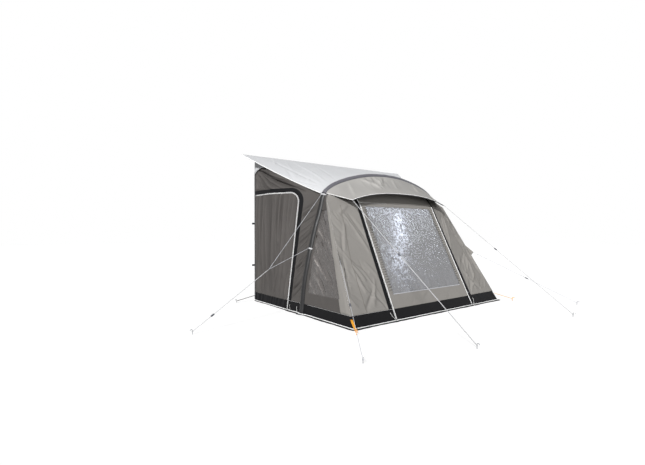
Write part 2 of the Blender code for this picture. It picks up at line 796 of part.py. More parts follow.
def make_guys(side):
    """Guys from the hood, the storm tab and the beam's bands, each to a peg of its own."""
    name = side_name(side)
    start = hood_corner(side)
    make_guy(f"{name}_hood_guy", start, HOOD_PEGS[side], web=GUY_WEB)
    adjuster(f"{name}_hood_guy_adjuster", start, HOOD_PEGS[side], 0.46, GUY_WEB)

    tip = storm_tab_tip(side)
    start = tip + guy_direction(tip, CORNER_PEGS[side]) * 0.005
    make_guy(f"{name}_corner_guy", start, CORNER_PEGS[side])
    adjuster(f"{name}_corner_guy_adjuster", start, CORNER_PEGS[side], 0.54, GUY_CORD)

    knot = Vector((side * GUY_KNOT[0], *GUY_KNOT[1:]))
    bridle = [band_eye("shoulder", side), knot, band_eye("leg", side)]
    tube(f"{name}_side_guy_bridle", "rope_grey", bridle_points(*bridle), GUY_CORD / 2)
    start = knot + guy_direction(knot, SIDE_PEGS[side]) * 0.006
    make_guy(f"{name}_side_guy", start, SIDE_PEGS[side], web=GUY_WEB)
    adjuster(f"{name}_side_guy_adjuster", start, SIDE_PEGS[side], 0.77, GUY_WEB)


def bridle_points(top, knot, low):
    """One thin cord from the shoulder to the knot, round it and back up to the leg's band."""
    down, up = (top - knot).normalized(), (low - knot).normalized()
    bend = 0.022
    turn = [knot + down * bend, knot + (down + up) * bend * 0.22, knot + up * bend]
    steps = 4
    first = [top.lerp(turn[0], k / steps) for k in range(steps)]
    last = [turn[2].lerp(low, k / steps) for k in range(1, steps + 1)]
    return [*first, *turn, *last]


def make_guy(name, start, place, web=0.0):
    end, lean = peg_end(start, place)
    steps = 6
    points = [start.lerp(end, k / steps) for k in range(steps + 1)]
    thickness = 0.0012 if web else GUY_CORD / 2
    tube(name, "rope_grey", points, thickness, web=web, sides_step=1 if web else 2)
    keep(peg(place, lean), f"{name}_peg", "steel")


def peg_end(start, place):
    """Where a guy from start ends at its peg, and the peg's lean."""
    lean = Vector((place[0] - start.x, place[1] - start.y)).normalized()
    eye = Vector((*place, PEG_EYE_HEIGHT))
    return eye - guy_direction(start, place) * (PEG_RADIUS + 0.006), lean


def adjuster(name, start, place, along, bore):
    """A buckle that slides on its guy: a flat frame with the guy through it."""
    end, _ = peg_end(start, place)
    matrix = frame_along(start.lerp(end, along), end - start)
    clear = 0.0016
    width = bore + 2 * clear
    height = 0.0055 if bore > GUY_CORD else GUY_CORD + 2 * clear
    outer = rounded(width + 2 * ADJUSTER_WALL, height + 2 * ADJUSTER_WALL, 0.003, 2)
    x, y = width / 2, height / 2
    inner = [(-x, -y), (x, -y), (x, y), (-x, y)]
    flat(name, "buckle_grey", [outer, inner], ADJUSTER_LENGTH, matrix)


def make_corner_straps(side):
    """Straps hold the wall's corners down, each hooked on a peg of its own."""
    for part, corner, (peg_x, peg_y) in zip(("front", "rear"), STRAP_CORNERS, STRAP_PEGS):
        start = Vector(corner)
        start.x *= side
        place = (side * peg_x, peg_y)
        run = Vector((*place, PEG_EYE_HEIGHT)) - start
        length = run.length + 0.006
        middle = start + run.normalized() * length / 2
        matrix = frame_along(middle, run) @ Matrix.Rotation(math.radians(90), 4, "X")
        outline = rounded(STRAP_WIDTH, length, 0.005, 2)
        strap = as_mesh(flat("strap", "strap_orange", [outline], STRAP_THICKNESS, matrix))
        keep(strap, f"{side_name(side)}_{part}_peg_strap", "strap_orange")
        fuse(strap, [as_mesh(peg(place, (place[0] - start.x, place[1] - start.y)))])


def make_awning():
    make_roof()
    make_hood()
    make_beam()
    make_valve()
    make_front()
    for side in (-1, 1):
        make_side_wall(side)
        make_front_corner(side)
        make_zip_sliders(side)
        make_beam_bands(side)
        make_rear_pad(side)
        make_guys(side)
        make_corner_straps(side)


for old in list(bpy.data.objects):
    bpy.data.objects.remove(old)
AWNING = bpy.data.collections.new("caravan_awning")
GUIDES = bpy.data.collections.new("guides")
for group in (AWNING, GUIDES):
    bpy.context.scene.collection.children.link(group)
make_awning()
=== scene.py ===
"""Caravan porch awning on one air beam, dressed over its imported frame, in metres.

+X runs along the caravan, -Y points away from it and +Z is up. The ground is z = 0. Shapes are
written for the right side, x > 0, and mirrored for the left.
"""

import math

import bpy
import numpy as np
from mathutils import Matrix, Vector


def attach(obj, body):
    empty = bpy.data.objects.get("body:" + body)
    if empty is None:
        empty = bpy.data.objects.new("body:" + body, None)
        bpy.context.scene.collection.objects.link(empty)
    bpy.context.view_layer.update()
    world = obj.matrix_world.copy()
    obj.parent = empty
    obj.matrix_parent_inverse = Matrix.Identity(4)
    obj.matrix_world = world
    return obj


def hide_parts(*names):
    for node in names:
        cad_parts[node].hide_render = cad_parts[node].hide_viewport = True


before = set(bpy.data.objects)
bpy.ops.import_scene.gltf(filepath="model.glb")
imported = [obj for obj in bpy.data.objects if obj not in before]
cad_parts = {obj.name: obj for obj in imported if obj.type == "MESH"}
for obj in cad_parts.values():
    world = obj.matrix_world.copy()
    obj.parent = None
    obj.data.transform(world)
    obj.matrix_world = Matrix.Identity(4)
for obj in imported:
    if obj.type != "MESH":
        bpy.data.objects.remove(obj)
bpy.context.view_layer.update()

# The air beam. One arch stands from ground to ground, 100 mm thick when blown up. A coated sleeve,
# grey over the arch and black down both legs, is zipped round an airtight bladder.
SIDES = {"left": -1, "right": 1}
HALF_WIDTH, DEPTH, REAR_Y = 1.65, 2.50, 1.36
FRONT_Y = REAR_Y - DEPTH
BEAM_RADIUS, BEAM_SIDES, GROUND_CUT = 0.05, 32, 0.008
BEAM_FOOT_Y, BEAM_TOP_Y = REAR_Y - 1.38, REAR_Y - 1.42
SHOULDER_HEIGHT = 1.72
BEAM_HALF = [
    (0.0, 2.065), (0.36, 2.043), (0.72, 1.974), (1.0, 1.884), (1.17, 1.79), (1.25, 1.69),
    (1.318, 1.44), (1.392, 1.21), (1.459, 0.95), (1.496, 0.81), (1.567, 0.437), (1.61, 0.03),
]


def through(points, steps):
    """Catmull-Rom curve: in each span the four nearest points are weighted by cubics."""
    p = np.array(points, float)
    p = np.vstack([2 * p[0] - p[1], p, 2 * p[-1] - p[-2]])
    a, b, c, d = (p[k:len(p) - 3 + k, None] for k in range(4))
    t = (np.arange(steps) / steps)[None, :, None]
    bend = (2 * a - 5 * b + 4 * c - d) * t**2 + (3 * b - a - 3 * c + d) * t**3
    return np.vstack([((2 * b + (c - a) * t + bend) / 2).reshape(-1, p.shape[1]), p[-2]])


def lerp(a, b, t):
    """The value that share t of the way from a to b has."""
    return a + (b - a) * t


def at(*coordinates):
    """Coordinate arrays of one shape, as one array of points."""
    return np.stack(np.broadcast_arrays(*coordinates), axis=-1).astype(float)


def unit(vectors):
    """Vectors over their own lengths, so that each is one long."""
    return vectors / np.maximum(np.linalg.norm(vectors, axis=-1, keepdims=True), 1e-12)


def travelled(path):
    """How far along a path each of its points lies: the running sum of its steps."""
    return np.concatenate([[0], np.cumsum(np.linalg.norm(np.diff(path, axis=0), axis=1))])


beam_line = through(BEAM_HALF, 8)
beam_long = travelled(beam_line)
beam_run = unit(np.gradient(beam_line, beam_long, axis=0))


def beam_y(z):
    """The beam leans forward evenly from its foot to the shoulder."""
    return lerp(BEAM_FOOT_Y, BEAM_TOP_Y, np.clip(z / SHOULDER_HEIGHT, 0, 1))


def by_beam(long, out=0.0, across=0.0):
    """Points long metres from the crown, out along the beam's normal and across along Y."""
    sign, long = np.where(np.asarray(long) < 0, -1, 1), np.abs(long)
    x, z = (np.interp(long, beam_long, beam_line[:, k]) for k in (0, 1))
    dx, dz = (np.interp(long, beam_long, beam_run[:, k]) for k in (0, 1))
    return at(sign * (x - dz * out), beam_y(z) + across, z + dx * out)


def long_at_height(z):
    """The length from the crown at which the beam's centreline is z high."""
    return np.interp(-np.asarray(z, float), -beam_line[:, 1], beam_long)


def long_at_x(x):
    """The length from the crown at which the beam's centreline is x from the middle."""
    return np.interp(np.abs(x), beam_line[:, 0], beam_long)


SHOULDER = float(long_at_height(SHOULDER_HEIGHT))


class Wire:
    """A socket of a material; arithmetic on it adds Math nodes."""

    def __init__(self, tree, socket):
        """The node tree and the output socket that the wire leaves."""
        self.tree, self.socket = tree, socket

    def math(self, operation, *values):
        """A Math node on wires and numbers, and its output's wire."""
        node = self.tree.nodes.new("ShaderNodeMath")
        node.operation = operation
        for socket, value in zip(node.inputs, values):
            plug(self.tree, socket, value)
        return Wire(self.tree, node.outputs[0])

    def __add__(self, other):
        """The wire plus another."""
        return self.math("ADD", self, other)

    def __sub__(self, other):
        """The wire less another."""
        return self.math("SUBTRACT", self, other)

    def __rsub__(self, other):
        """A number less the wire."""
        return self.math("SUBTRACT", other, self)

    def __mul__(self, other):
        """The wire times another."""
        return self.math("MULTIPLY", self, other)

    __radd__, __rmul__ = __add__, __mul__


def plug(tree, socket, value):
    """Link a wire to a socket, or set the socket's own value."""
    if isinstance(value, Wire):
        tree.links.new(value.socket, socket)
    else:
        socket.default_value = value


class Finish:
    """A node material with one Principled shader."""

    def __init__(self, name, **shader):
        """A new material, with values for its shader's sockets."""
        self.material = bpy.data.materials.new(name)
        self.material.use_nodes = True
        self.tree = self.material.node_tree
        self.shader = self.tree.nodes["Principled BSDF"]
        self.set(**shader)

    def set(self, **values):
        """Values or wires for the shader's sockets, an underscore standing for a space."""
        for name, value in values.items():
            plug(self.tree, self.shader.inputs[name.replace("_", " ")], value)

    def node(self, kind, out=0, settings=(), **values):
        """A node of any type: its settings first, then its sockets by name, and its output's wire."""
        node = self.tree.nodes.new("ShaderNode" + kind)
        for name, value in dict(settings).items():
            setattr(node, name, value)
        for name, value in values.items():
            plug(self.tree, node.inputs[name.replace("_", " ")], value)
        return Wire(self.tree, node.outputs[out])

    def noise(self, scale, detail=2.0):
        """Noise on the object's own coordinates, scale to the metre."""
        return self.node("TexNoise", Vector=self.node("TexCoord", 3), Scale=scale, Detail=detail)

    def mix(self, share, low, high):
        """Colours low and high mixed by share."""
        node = self.tree.nodes.new("ShaderNodeMix")
        node.data_type = "RGBA"
        plug(self.tree, node.inputs["Factor"], share)
        plug(self.tree, node.inputs[6], low)
        plug(self.tree, node.inputs[7], high)
        return Wire(self.tree, node.outputs[2])


def shown(*channels):
    """Displayed channels from 0 to 255 as a linear colour."""
    c = np.array(channels, float) / 255
    linear = np.where(c <= 0.04045, c / 12.92, ((c + 0.055) / 1.055) ** 2.4)
    return (*[float(v) for v in linear], 1.0)


def cloth_finish(name, colour, pitch=0.0022, rough=0.78, crinkle=0.35, mottle=0.07, gloss=0.10):
    """Woven coated polyester: crossed threads in the bump, soft crinkles, uneven tone.

    The threads follow the piece's own UV map, which is in metres; pitch is theirs. A fold's ridge is
    painted paler and its valley darker, as painted highlight and shade, by the piece's
    haze: the fold's height over the height that gets the full painted shade.
    """
    made = Finish(name, Roughness=rough, Specular_IOR_Level=gloss)
    uv = made.node("TexCoord", 2)
    threads = [
        made.node("TexWave", 1, {"bands_direction": way}, Vector=uv, Scale=2 / (6.2832 * pitch))
        for way in ("X", "Y")
    ]
    crinkles, tone = made.noise(16.0), made.noise(2.2, 3.0)
    weave = threads[0] * 0.5 + threads[1] * 0.5
    dark = tuple(v * (1 - mottle * 2) for v in colour[:3]) + (1.0,)
    light = tuple(min(v * (1 + mottle), 1) for v in colour[:3]) + (1.0,)
    # painted_fold_light: fold ridges painted paler and fold valleys darker, as painted highlight and
    # shade.
    painted_fold_light = made.node("Attribute", 2, {"attribute_name": "haze"})
    share = tone * 0.8 + weave * 0.03 + crinkles * 0.12 + painted_fold_light * 0.35 + 0.02
    height = weave * 0.00004 + crinkles * (0.006 * crinkle)
    bump = made.node("Bump", Strength=1.0, Distance=1.0, Height=height)
    made.set(Base_Color=made.mix(share, dark, light), Normal=bump)
    return made.material


def quads(rows, columns, wrap=False, ring=False):
    """The faces of a grid of points; wrap joins its last column to its first, ring its last row."""
    index = np.arange(rows * columns).reshape(rows, columns)
    if wrap:
        index = np.hstack([index, index[:, :1]])
    if ring:
        index = np.vstack([index, index[:1]])
    corners = [index[:-1, :-1], index[:-1, 1:], index[1:, 1:], index[1:, :-1]]
    return np.stack(corners, axis=-1).reshape(-1, 4).tolist()


def mesh_piece(name, points, faces, finish, uv, slot=None, body="awning", nodes=(), haze=None):
    """One piece of the awning: its mesh with smooth faces, its finish, and the body that it rides on.

    haze is a number for each point, which the finish reads: painted light and shade on a
    cloth's folds, and on film its milky creases with painted highlights. nodes are the CAD's that it
    replaces.
    """
    mesh = bpy.data.meshes.new(name)
    mesh.from_pydata(np.asarray(points, float).tolist(), [], faces)
    corner = np.empty(len(mesh.loops), np.int32)
    mesh.loops.foreach_get("vertex_index", corner)
    mesh.uv_layers.new(name="UVMap").data.foreach_set("uv", np.asarray(uv, np.float32)[corner].ravel())
    if haze is not None:
        mesh.attributes.new("haze", "FLOAT", "POINT").data.foreach_set(
            "value", np.asarray(haze, np.float32).ravel())
    mesh.shade_smooth()
    mesh.materials.append(finish)
    piece = bpy.data.objects.new(name, mesh)
    bpy.context.scene.collection.objects.link(piece)
    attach(piece, body)
    if nodes:
        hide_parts(*nodes)
    return piece


def thicken(piece, thickness, offset=0.0):
    """Give a surface its wall, outward on offset 1, inward on -1 and half each way on 0."""
    shell = piece.modifiers.new("thickness", "SOLIDIFY")
    shell.thickness, shell.offset = thickness, offset
    return piece


def bell(distance, width):
    """A bell, exp(-(d/w)^2): one at no distance, and nearly nothing from twice its width on."""
    return np.exp(-((distance / width) ** 2))


def sleeve(name, start, end, rings, finish):
    """The sleeve's tube between two lengths from the crown: circles round the beam.

    Their radius waves softly, and puckers on the inside of the shoulder's bend.
    """
    around = np.arange(BEAM_SIDES) / BEAM_SIDES * math.tau
    long, turn = np.meshgrid(np.linspace(start, end, rings), around, indexing="ij")
    bend = bell(np.abs(long) - SHOULDER, 0.13)
    inner = 0.5 - 0.5 * np.cos(turn)
    pucker = 0.0026 * bend * inner * np.sin(230 * long)
    soft = 0.0007 * np.sin(9 * long + 2 * turn) + 0.0004 * np.sin(31 * long - 3 * turn)
    radius = BEAM_RADIUS + pucker + soft
    points = by_beam(long, radius * np.cos(turn), radius * np.sin(turn))
    points[..., 2] = np.where(points[..., 2] < GROUND_CUT, 0.0, points[..., 2])
    piece = mesh_piece(name, points.reshape(-1, 3), quads(rings, BEAM_SIDES, wrap=True), finish,
                       at(turn * BEAM_RADIUS, long).reshape(-1, 2), slot="sleeve_black",
                       nodes=["air_beam_sleeve"])
    thicken(piece, 0.0012, -1)
    return piece


sleeve_grey = cloth_finish("sleeve_grey", shown(94, 93, 99), pitch=0.004, rough=0.5, gloss=0.3)
sleeve_black = cloth_finish("sleeve_black", shown(17, 17, 19), pitch=0.004, rough=0.45, gloss=0.4)
FOOT = float(beam_long[-1]) + 0.03
beam_line = np.vstack([beam_line, [BEAM_HALF[-1][0], 0.0]])
beam_run = np.vstack([beam_run, beam_run[-1]])
beam_long = np.append(beam_long, FOOT)
sleeve("arch_sleeve", -SHOULDER, SHOULDER, 220, sleeve_grey)
for side, sign in SIDES.items():
    sleeve(f"{side}_leg_sleeve", sign * SHOULDER, sign * FOOT, 120, sleeve_black)


# Under the sleeve is the bladder, an airtight film tube that fills it. Low on the inside of the left
# leg its valve stands through the sleeve, moulded plastic with a ribbed screw cap.
def circle(radius, sides=8):
    """A round profile, as points anticlockwise."""
    turn = np.arange(sides) / sides * math.tau
    return at(radius * np.cos(turn), radius * np.sin(turn))


def sweep(name, path, profile, finish, up=(0, 0, 1), scale=None, ring=False, **ways):
    """A profile carried along a path: its first axis is up x run, its second run x that.

    A path that is a ring has no ends; any other gets a cap on each.
    """
    path, profile = np.asarray(path, float), np.asarray(profile, float)
    run = unit(np.roll(path, -1, 0) - np.roll(path, 1, 0) if ring else np.gradient(path, axis=0))
    side = unit(np.cross(np.broadcast_to(np.asarray(up, float), run.shape), run))
    rise = np.cross(run, side)
    size = np.ones(len(path)) if scale is None else np.asarray(scale, float)
    spokes = side[:, None] * profile[None, :, :1] + rise[:, None] * profile[None, :, 1:]
    points = path[:, None] + spokes * size[:, None, None]
    rows, columns = points.shape[:2]
    faces = quads(rows, columns, wrap=True, ring=ring)
    if not ring:
        last = (rows - 1) * columns
        faces += [list(range(columns))[::-1], [last + k for k in range(columns)]]
    girth = np.arange(columns) / columns * np.linalg.norm(np.ptp(profile, axis=0)) * 2
    uv = at(*np.meshgrid(girth, travelled(path))).reshape(-1, 2)
    return mesh_piece(name, points.reshape(-1, 3), faces, finish, uv, **ways)


def moulded(name, colour, rough, grain=0.25, wear=0.0):
    """Moulded plastic: a fine eggshell grain in the bump, and paler rubbed patches from noise."""
    made = Finish(name, Roughness=rough)
    skin, rub = made.noise(900.0), made.noise(45.0, 4.0)
    worn = tuple(min(1.0, v * 1.5 + 0.02) for v in colour[:3]) + (1.0,)
    made.set(Base_Color=made.mix((rub - 0.45) * (2.0 * wear + 0.6), colour, worn),
             Normal=made.node("Bump", Strength=grain, Distance=0.0004, Height=skin))
    return made.material


def refinish(node, material):
    """Give a kept CAD node a finish of the scene's."""
    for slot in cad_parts[node].material_slots:
        slot.material = material


bladder_film = Finish("bladder_film", Base_Color=shown(226, 226, 220), Roughness=0.35)
bladder_film.set(Normal=bladder_film.node("Bump", Strength=0.3, Distance=0.002,
                                          Height=bladder_film.noise(40.0)))
bladder = sweep("bladder", by_beam(np.linspace(-FOOT + 0.006, FOOT - 0.006, 240)),
                circle(0.0435, 20), bladder_film.material, up=(0, 1, 0), slot="bladder",
                nodes=["air_beam_bladder"])
valve_plastic = moulded("valve_plastic", shown(38, 38, 41), 0.38)
for node in ("inflation_valve", "valve_cap"):
    refinish(node, valve_plastic)


# Two webbing bands are sewn round each side of the beam, at the shoulder and half way down the leg.
# They carry the rings that the side guys are tied to, and are a lighter grey than the sleeve.
BAND_HEIGHTS, BAND_HALF_WIDTH, RING_RADIUS = {"shoulder": 1.70, "leg": 0.917}, 0.010, 0.008


def metres(points):
    """UV in metres: along the middle row and the middle column."""
    rows, columns = points.shape[:2]
    u, v = travelled(points[rows // 2]), travelled(points[:, columns // 2])
    return at(*np.meshgrid(u, v)).reshape(-1, 2)


def surface(name, points, finish, thickness, hole=None, **ways):
    """A sheet from a grid, without the faces where hole is true and the points that only they use."""
    kept = np.array(quads(*points.shape[:2]))
    if hole is not None:
        kept = kept[~hole.ravel()]
    used, kept = np.unique(kept, return_inverse=True)
    piece = mesh_piece(name, points.reshape(-1, 3)[used], kept.reshape(-1, 4).tolist(), finish,
                       metres(points)[used], **ways)
    return thicken(piece, thickness)


band_webbing = cloth_finish("band_webbing", shown(196, 196, 198), pitch=0.0016, rough=0.7)
ring_steel = Finish("ring_steel", Base_Color=shown(170, 171, 174), Metallic=1.0, Roughness=0.32)
for side, sign in SIDES.items():
    for part, height in BAND_HEIGHTS.items():
        middle = float(long_at_height(height))
        turn, across = np.meshgrid(np.radians(np.linspace(-165, 165, 45)), np.linspace(-1, 1, 5))
        radius = BEAM_RADIUS + 0.0030 - 0.0006 * across**2
        wrap = by_beam(sign * (middle + BAND_HALF_WIDTH * across), radius * np.cos(turn),
                       radius * np.sin(turn))
        band = surface(f"{side}_{part}_ring_band", wrap, band_webbing, 0.0014, slot="white_tape",
                       nodes=[f"{side}_{part}_band"])
        x, y, z = by_beam(sign * middle, BEAM_RADIUS + 0.0125)
        turn = np.linspace(0, math.tau, 25)[:-1]
        eye = at(x + RING_RADIUS * np.cos(turn), y, z + RING_RADIUS * np.sin(turn))
        sweep(f"{side}_{part}_ring", eye, circle(0.0013), ring_steel.material, up=(0, 1, 0), ring=True)


# The roof is one sheet of pale coated polyester. A beaded strip along its rear edge slides into the
# caravan's rail, and its front edge is sewn to the sleeve over the arch. White piping runs down both
# sides, where the walls join it.
RAIL_HALF, RAIL_HEIGHT, REAR_SEAM = 1.906, 2.44, 0.034
ROOF_EDGE_BOW, ROOF_SAG, ROOF_OUT, PANEL_OFF_BEAM = 0.02, 0.03, 0.030, 0.057


def off_beam(out):
    """How far along Y an edge keeps off the beam's centreline: the root of the gap's square less out's."""
    return np.sqrt(PANEL_OFF_BEAM**2 - out**2)


def roof(u, s):
    """Lines from the rail, u from -1 to 1 along it, to the arch, drawn in and down by 4s(1 - s)."""
    rail = at(RAIL_HALF * u, REAR_Y - REAR_SEAM, RAIL_HEIGHT)
    arch = by_beam(u * SHOULDER, ROOF_OUT, off_beam(ROOF_OUT))
    mid = 4 * s * (1 - s)
    place = lerp(rail, arch, np.asarray(s, float)[..., None])
    place[..., 0] *= 1 - ROOF_EDGE_BOW / RAIL_HALF * mid
    place[..., 2] -= ROOF_SAG * mid
    return place


def shares(columns, rows, low=0):
    """A grid's even shares: from low to one along its rows, and from nought to one up its columns."""
    return np.meshgrid(np.linspace(low, 1, columns), np.linspace(0, 1, rows))


def piping(name, path, radius, **ways):
    """White piping sewn along a path, round in section."""
    return sweep(name, path, circle(radius), white_piping, slot="white_tape", **ways)


def fall(distance, over):
    """Folds grow off an edge: none on it, one from over on, and 3x^2 - 2x^3 between."""
    x = np.clip(distance / over, 0, 1)
    return x * x * (3 - 2 * x)


def ends_fall(share, length, start, end):
    """Falls off both ends of a length, at a share of it: over start at its start, over end at its end."""
    return fall(share * length, start) * fall((1 - share) * length, end)


def creases(p, q, lines):
    """Straight creases as bells exp(-(d/w)^2) of the distance d to each line, thin at both ends.

    A line is (p0, q0, p1, q1, height, width).
    """
    total = np.zeros(np.broadcast(p, q).shape)
    for p0, q0, p1, q1, height, width in lines:
        run_p, run_q = p1 - p0, q1 - q0
        length = math.hypot(run_p, run_q)
        t = ((p - p0) * run_p + (q - q0) * run_q) / length**2
        d = ((p - p0) * run_q - (q - q0) * run_p) / length
        w = width * (0.55 + 0.45 * np.clip(t, 0, 1))
        total += height * bell(d, w) * np.clip(4 * t * (1 - t), 0, 1) ** 0.6
    return total


def strewn(seed, count, box, angle, spread, length, height):
    """Seeded creases in a box, about one angle in degrees: long ones are few, and heights differ."""
    rng = np.random.default_rng(seed)
    p = rng.uniform(box[0], box[1], count)
    q = rng.uniform(box[2], box[3], count)
    way = np.radians(angle + rng.normal(0, spread, count))
    reach = length * rng.uniform(0.35, 1, count) ** 1.5
    rise = height * rng.uniform(-1, 1, count)
    wide = rng.uniform(0.012, 0.032, count)
    dp, dq = np.cos(way) * reach / 2, np.sin(way) * reach / 2
    return list(zip(p - dp, q - dq, p + dp, q + dq, rise, wide))


def swell(p, q, size, seed):
    """Smooth unevenness from -1 to 1: six plane waves about that long, in seeded directions."""
    rng = np.random.default_rng(seed)
    total = 0
    for way, phase, stretch in zip(rng.uniform(0, math.tau, 6), rng.uniform(0, math.tau, 6),
                                   rng.uniform(0.7, 1.5, 6)):
        total = total + np.sin(
            (np.cos(way) * p + np.sin(way) * q) * math.tau / (size * stretch) + phase)
    return total / 6


def raised(points, height, outward):
    """A grid moved by height along its normals, the cross product of its gradients turned outward."""
    normal = unit(np.cross(np.gradient(points, axis=1), np.gradient(points, axis=0)))
    facing = np.sign(np.sum(normal * np.asarray(outward, float), axis=-1).mean())
    return points + normal * (facing * height)[..., None]


def cloth(name, points, finish, hole=None, held="stretched", rests_on=(), thickness=0.0009,
          flat=None, **ways):
    """A sheet of cloth from a grid of points, with or without a hole.

    Its area, half the cross products of its faces' diagonals summed, and a flat size for its cut are
    worked out but not used: flat if given, else as long as its longest column and as wide as its
    longest row, or for a holed one so narrow that it fills 0.35 of that.
    """
    piece = surface(name, points, finish, thickness, hole, **ways)
    steps = np.linalg.norm(np.diff(points, axis=1), axis=2).sum(axis=1).max()
    rises = np.linalg.norm(np.diff(points, axis=0), axis=2).sum(axis=0).max()
    diagonals = points[1:, 1:] - points[:-1, :-1], points[1:, :-1] - points[:-1, 1:]
    areas = np.linalg.norm(np.cross(*diagonals), axis=2) / 2
    area = float(areas.sum() if hole is None else areas[~hole].sum())
    flat = flat or (steps if hole is None else min(steps, area / rises / 0.35), rises)
    min(area, flat[0] * flat[1])
    return piece


roof_cloth = cloth_finish("roof_cloth", shown(196, 197, 199), rough=0.72, crinkle=0.25, mottle=0.03)
white_piping = cloth_finish("white_piping", shown(250, 250, 250), pitch=0.001, rough=0.6,
                            crinkle=0.1, mottle=0.02)
ROOF_PULLS = [
    (1.25, 0.02, 1.86, 1.25, 0.0112, 0.030), (1.18, 0.03, 1.45, 1.28, -0.0096, 0.035),
    (1.10, 0.05, 0.95, 1.28, 0.00896, 0.030), (0.95, 0.02, 0.55, 1.20, -0.00704, 0.030),
    (0.55, 0.00, 0.15, 1.10, 0.00704, 0.028), (1.22, 0.10, 1.70, 0.85, -0.0096, 0.020),
]
u, s = shares(221, 91, -1)
roof_points = roof(u, s)
x, y = roof_points[..., 0], roof_points[..., 1]
folds = 0.0022 * swell(x, y, 0.5, 3)
for mirror in SIDES.values():
    folds += creases(mirror * x, y, ROOF_PULLS) * (mirror * x > 0)
folds += creases(x, y, strewn(11, 36, (-1.7, 1.7, 0.1, 1.2), 62, 14, 0.9, 0.0110))
folds *= ends_fall(s, 1.4, 0.10, 0.06) * fall((1 - np.abs(u)) * 1.9, 0.07)
cloth("roof_sheet", raised(roof_points, folds, (0, 0, 1)), roof_cloth, slot="roof_grey",
      nodes=["roof_panel"], rests_on=["arch_sleeve"])
refinish("kador_strip", white_piping)
for side, sign in SIDES.items():
    edge = roof(np.full(60, sign * 0.9995), np.linspace(0, 0.985, 60)) + [sign * 0.001, 0, -0.001]
    piping(f"{side}_roof_piping", edge, 0.0048)


# The hood shades the front. It is sewn to the front of the sleeve over the whole arch, and a sprung
# pole in its hem bows it forward. Its free edges are bound in white piping.
HOOD_HALF, HOOD_Y, HOOD_CORNER_Z, HOOD_CROWN, HOOD_OUT = 1.069, REAR_Y - 1.831, 1.622, 0.137, 0.026
HOOD_REACH, HOOD_FULL_PAINTED_SHADE = 0.42, 0.01


def hood(u, v):
    """Lines from the arch, |u|^6 out along its normal, to the hem, whose crown is 1 - |u|^2.6 high."""
    out = HOOD_OUT * np.abs(u) ** 6
    start = by_beam(u * SHOULDER, out, -off_beam(out))
    rise = HOOD_CROWN * (1 - np.abs(u) ** 2.6)
    hem = at(HOOD_HALF * u, HOOD_Y, HOOD_CORNER_Z + rise)
    return lerp(start, hem, np.asarray(v, float)[..., None])


hood_cloth = cloth_finish("hood_cloth", shown(163, 161, 158), rough=0.75, mottle=0.12)
u, v = shares(241, 51, -1)
hood_points = hood(u, v)
x, reach = hood_points[..., 0], v * HOOD_REACH
folds = -0.005 * np.sin(math.pi * v) ** 1.2 + 0.0034 * swell(x, reach, 0.25, 8)
bunched = bell(x + 0.33, 0.20) * bell(v - 0.30, 0.28)
curve = x + 0.33 + 0.10 * (v - 0.3) ** 2 * np.sign(x + 0.33)
folds += bunched * (0.0110 * np.sin(curve * 52) + 0.0030 * np.sin(curve * 100 + 6 * v))
folds += 0.8 * creases(x, reach, [
    (-0.62, 0.02, -0.35, 0.30, 0.022, 0.034), (-0.50, 0.01, -0.28, 0.24, -0.020, 0.028),
    (-0.22, 0.02, -0.34, 0.26, 0.018, 0.028), (-0.08, 0.02, -0.24, 0.22, -0.018, 0.030),
    (0.10, 0.03, -0.02, 0.30, 0.012, 0.034), (0.62, 0.03, 0.50, 0.33, 0.014, 0.036),
    (0.85, 0.04, 0.96, 0.34, -0.012, 0.034), (-0.85, 0.03, -0.97, 0.36, 0.012, 0.036),
])
folds *= ends_fall(v, HOOD_REACH, 0.03, 0.03) * fall((1 - np.abs(u)) * 1.2, 0.05)
# The hood's fold heights also go to its finish as painted light and shade: ridges paler, valleys darker.
cloth("hood_sheet", raised(hood_points, folds, (0, -0.5, 0.85)), hood_cloth, slot="hood_grey",
      nodes=["hood_canopy"], rests_on=["hood_pole", "arch_sleeve"], haze=folds / HOOD_FULL_PAINTED_SHADE)
hem = hood(np.linspace(-1, 1, 160), np.ones(160)) + [0, -0.0015, 0.0005]
ends = [hood(np.full(24, end), np.linspace(0.02, 1, 24)) for end in (-1.0, 1.0)]
piping("hood_piping", np.vstack([ends[0][:-1], hem, ends[1][::-1][1:]]), 0.0042, up=(0, 0.3, 1))
glass_fibre = Finish("glass_fibre_pole", Base_Color=shown(60, 60, 62))
glass_fibre.set(Roughness=glass_fibre.noise(160.0) * 0.3 + 0.28)
refinish("hood_pole", glass_fibre.material)


# Each side is closed by a wall sewn under the roof's edge and down the back of the beam's leg, round
# a zipped door. Both are warm grey coated polyester, with a black ground strip and a black facing
# outside the zip; their grey is darker than the front's, partly as the cloth's own colour and partly
# as painted shade. Folds fan out of the rear top corner, where the roof pulls the wall up.
SEAM, MUD_WALL, HEM, WALL_OUT = 0.002, 0.145, 0.012, 0.025
DOOR_HINGE_Y, DOOR_EDGE_Y = REAR_Y - 0.036, REAR_Y - 1.035
DOOR_TOP, DOOR_CORNER, WALL_FULL_PAINTED_SHADE = 1.775, 0.16, 0.02
LEG_SEAM_TOP, WALL_TURN_Y, FACING_WIDTH, FACING_ROWS = 1.69, 0.05, 0.066, 5
LEG, ARC = DOOR_TOP - DOOR_CORNER, DOOR_CORNER * math.pi / 2
HEAD = DOOR_HINGE_Y - DOOR_EDGE_Y - DOOR_CORNER

